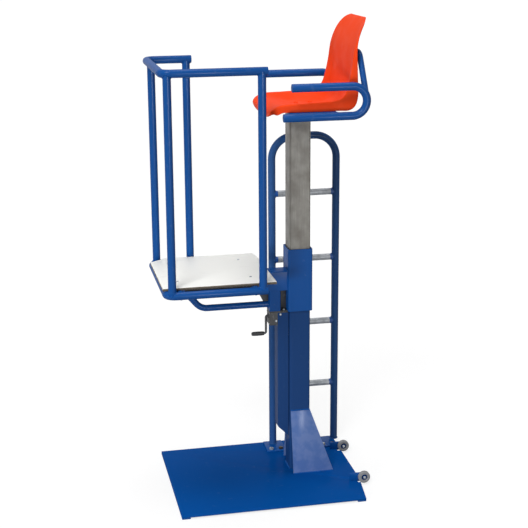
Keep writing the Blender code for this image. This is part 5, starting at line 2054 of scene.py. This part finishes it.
    def spindle(self, housing: Span) -> None:
        """The lifting screw: a turn of its thread wound up the shank, cut square, with a plain journal.

        Args:
            housing: Span of the gearbox's housing, whose floor the journal stands on.
        """
        span = Span.of("lift_spindle")
        radius, x, y = span.size.x / 2, span.middle.x, span.middle.y
        root, pitch = radius - self.thread_depth, self.thread_pitch
        shoulder = housing.low.z + self.wall + CLOSE_FIT
        turns = math.ceil((shoulder - span.low.z) / pitch) + 2
        chain = (
            (root, pitch), (radius, 0.88 * pitch), (radius, 0.45 * pitch), (root, 0.33 * pitch), (root, 0.0)
        )
        thread = ring("spindle_thread", upright(chain, 0.0))
        with editing(thread):
            closing = 0.9 * pitch
            pick(thread, Parts.EDGES, lambda edge: abs(edge.verts[0].co.z - edge.verts[1].co.z) > closing)
            bpy.ops.mesh.delete(type="EDGE")
        finish_with(
            thread, "SCREW", axis="Z", angle=math.tau, screw_offset=pitch, iterations=turns,
            steps=self.thread_steps, render_steps=self.thread_steps, use_merge_vertices=True,
            merge_threshold=MERGE_DISTANCE * 10,
        )
        take_up(thread)
        bpy.ops.transform.translate(value=Vector((x, y, span.low.z - pitch)))
        thread = new_piece("spindle_thread")
        with editing(thread):
            bpy.ops.mesh.normals_make_consistent(inside=False)
            for height, normal in ((span.low.z, -Z), (shoulder, Z)):
                bpy.ops.mesh.select_all(action="SELECT")
                bpy.ops.mesh.bisect(plane_co=(x, y, height), plane_no=normal, use_fill=True, clear_outer=True)
            close_up()
        journal, foot, top = self.journal, shoulder - MM, span.high.z
        profile = ((0.0, foot), (journal, foot), (journal, top - MM), (journal - MM, top), (0.0, top))
        pin = turned("spindle_journal", profile, Z, Vector((x, y, 0.0)))
        dress(joined("lift_spindle_screw", (thread, pin)), Body.SPINDLE, GREASED, "lift_spindle")

    def crank(self, crank_z: float) -> None:
        """The crank: one bent bar with a riveted head at the end of its pin.

        Args:
            crank_z: Height of the crank's shaft.
        """
        span, grip = Span.of("crank_rod"), Span.of("crank_grip")
        y, grip_z = span.middle.y, grip.middle.z
        arm_x = grip.high.x + self.rod_bend + RUNNING_FIT
        radius, head = self.rivet_radius, self.rivet_head
        corners = path(
            (span.high.x, y, crank_z), (arm_x, y, crank_z), (arm_x, y, grip_z),
            (span.low.x + head / 2, y, grip_z),
        )
        bar = bent_tube("crank_bar", corners, self.rod_bend, self.rod_radius, self.rod_rim, self.rod_facets)
        profile = ((0.0, 0.0), (radius - MM, 0.0), (radius, 0.6 * MM), (radius, head), (0.0, head))
        rivet = turned("crank_rivet", profile, X, Vector((span.low.x, y, grip_z)), SMALL_FACETS)
        dress(joined("crank_rod_bar", (bar, rivet)), Body.CRANK, CRANK_STEEL, "crank_rod")

    def grip(self) -> None:
        """The hand grip: a turned sleeve with round ends, a slight belly and shallow grooves."""
        span = Span.of("crank_grip")
        radius, length = span.size.z / 2, span.size.x
        bore, end = self.rod_radius + RUNNING_FIT, radius - self.grip_end
        profile = [(bore, 0.0), (end, 0.0)]
        for share in (step / self.grip_steps for step in range(self.grip_steps + 1)):
            belly = radius - self.grip_belly * (2 * share - 1) ** 2
            wave = max(0.0, math.cos(math.tau * self.grip_grooves * share))
            groove = self.grip_groove * wave if 0.12 < share < 0.88 else 0.0
            profile.append((belly - groove, MM + share * (length - 2 * MM)))
        profile += [(end, length), (bore, length)]
        centre = Vector((span.low.x, span.middle.y, span.middle.z))
        dress(turned("crank_grip_sleeve", profile, X, centre), Body.GRIP, BLACK, "crank_grip")


@dataclass
class Studio:
    """A plain pale floor, soft light and the photograph's camera."""

    from_mast: Vector = Vector((-1.1793, -4.9569, 2.3451))
    yaw: float = math.radians(11.761)
    pitch: float = math.radians(15.404)
    roll: float = math.radians(-0.359)
    lens_mm: float = 84.2
    sensor_mm: float = 36.0
    floor_half: float = 60.0
    floor_colour: str = "#959595"
    floor_lift: float = 0.74
    room_light: float = 0.18
    softbox_size: tuple[float, float] = (1.6, 1.0)
    softbox_target: Vector = Vector((0.2, 0.0, 0.13))

    def build(self) -> None:
        """Set up the camera, the floor, the world and the lamps."""
        bpy.context.scene.view_settings.view_transform = "Standard"
        self.camera()
        self.floor()
        self.world()
        self.sky_panel("key panel", Vector((-0.38, -0.62, 0.69)), strength=1.40, spread=math.radians(25.0))
        self.sky_panel("top panel", Vector((0.05, 0.10, 1.0)), strength=1.50, spread=math.radians(40.0))
        self.softbox("side softbox", Vector((-4.6, -5.8, 0.8)), power=200.0, gloss=False)
        self.softbox("gloss card", Vector((1.67, -7.28, 1.0)), power=126.0, gloss=True)

    def camera(self) -> None:
        """The camera at the photograph's viewing angle."""
        flat = math.cos(self.pitch)
        forward = Vector((math.sin(self.yaw) * flat, math.cos(self.yaw) * flat, -math.sin(self.pitch)))
        across = forward.cross(Z).normalized()
        right = across * math.cos(self.roll) + across.cross(forward) * math.sin(self.roll)
        data = bpy.data.cameras.new("photograph_camera")
        data.lens = self.lens_mm
        data.sensor_width = self.sensor_mm
        camera = bpy.data.objects.new("photograph_camera", data)
        bpy.context.collection.objects.link(camera)
        turn = camera.matrix_world.to_3x3()
        turn.col[0], turn.col[1], turn.col[2] = right, right.cross(forward), -forward
        camera.matrix_world = turn.to_4x4()
        mast = Span.of("mast").middle
        camera.location = Vector((mast.x, mast.y, 0.0)) + self.from_mast
        bpy.context.scene.camera = camera

    def floor(self) -> None:
        """The floor: matt white, lifted to full white for the eye, and darkened by the stand's shadow."""
        deselect()
        bpy.ops.mesh.primitive_plane_add(size=2 * self.floor_half, location=(0.0, 0.0, 0.0))
        floor = new_piece("studio_floor")
        material = bpy.data.materials.new("matt white floor")
        material.use_nodes = True
        tree = material.node_tree
        tree.nodes.clear()
        matt = add_node(tree, "BsdfDiffuse", sockets={"Color": linear(self.floor_colour)})
        lift = add_node(tree, "Math", PRODUCT, {0: self.seen(tree), 1: self.floor_lift})
        glow = add_node(tree, "Emission", sockets={"Strength": lift.outputs[0]})
        both = add_node(tree, "AddShader", sockets={0: matt.outputs[0], 1: glow.outputs[0]})
        add_node(tree, "OutputMaterial", sockets={"Surface": both.outputs[0]})
        floor.data.materials.append(material)

    def seen(self, tree: Tree) -> Socket:
        """Tell the rays that the eye, gloss or glass sends out from the rest.

        Args:
            tree: Node tree of the floor or the world.

        Returns:
            A factor of 1 for those rays and 0 for the others.
        """
        rays = add_node(tree, "LightPath").outputs
        gloss = add_node(tree, "Math", LARGER, {0: rays["Is Camera Ray"], 1: rays["Is Glossy Ray"]})
        glass = add_node(tree, "Math", LARGER, {0: gloss.outputs[0], 1: rays["Is Transmission Ray"]})
        return glass.outputs[0]

    def world(self) -> None:
        """Soft white light from all round, and a white backdrop for the eye."""
        world = bpy.data.worlds.new("soft white room")
        world.use_nodes = True
        tree = world.node_tree
        tree.nodes.clear()
        levels = {"Value": self.seen(tree), "To Min": self.room_light, "To Max": 1.0}
        strength = add_node(tree, "MapRange", sockets=levels).outputs[0]
        light = add_node(tree, "Background", sockets={"Color": linear("#ffffff"), "Strength": strength})
        add_node(tree, "OutputWorld", sockets={"Surface": light.outputs[0]})
        bpy.context.scene.world = world

    def sky_panel(self, name: str, towards: Vector, strength: float, spread: float) -> None:
        """A wide panel so far off that it lights the stand and the whole floor evenly.

        Args:
            name: Name of the lamp.
            towards: Direction from the stand to the panel.
            strength: Watts on each square metre that faces it.
            spread: Angle that the panel takes up.
        """
        data = bpy.data.lights.new(name, "SUN")
        data.energy = strength
        data.angle = spread
        lamp = bpy.data.objects.new(name, data)
        lamp.rotation_euler = (-towards).to_track_quat("-Z", "Y").to_euler()
        bpy.context.collection.objects.link(lamp)

    def softbox(self, name: str, place: Vector, power: float, gloss: bool) -> None:
        """A softbox that faces the stand's foot.

        Args:
            name: Name of the lamp.
            place: Where it stands.
            power: Watts.
            gloss: Whether it is a card that shows in gloss and metal, or a light for matt surfaces.
        """
        data = bpy.data.lights.new(name, "AREA")
        data.shape = "RECTANGLE"
        data.size, data.size_y = self.softbox_size
        data.energy = power
        lamp = bpy.data.objects.new(name, data)
        lamp.location = place
        lamp.rotation_euler = (self.softbox_target - place).to_track_quat("-Z", "Y").to_euler()
        lamp.visible_diffuse = not gloss
        lamp.visible_glossy = gloss
        bpy.context.collection.objects.link(lamp)


def main() -> None:
    """Build the studio and every sub-assembly in order."""
    logging.basicConfig(level=logging.INFO, format="%(message)s")
    for part in (Studio, BasePlate, Mast, Ladder, TransportWheels, Seat, Carriage):
        part().build()
    GuardRail().build(Footboard().build())
    ScrewLift().build()


if __name__ == "__main__":
    main()
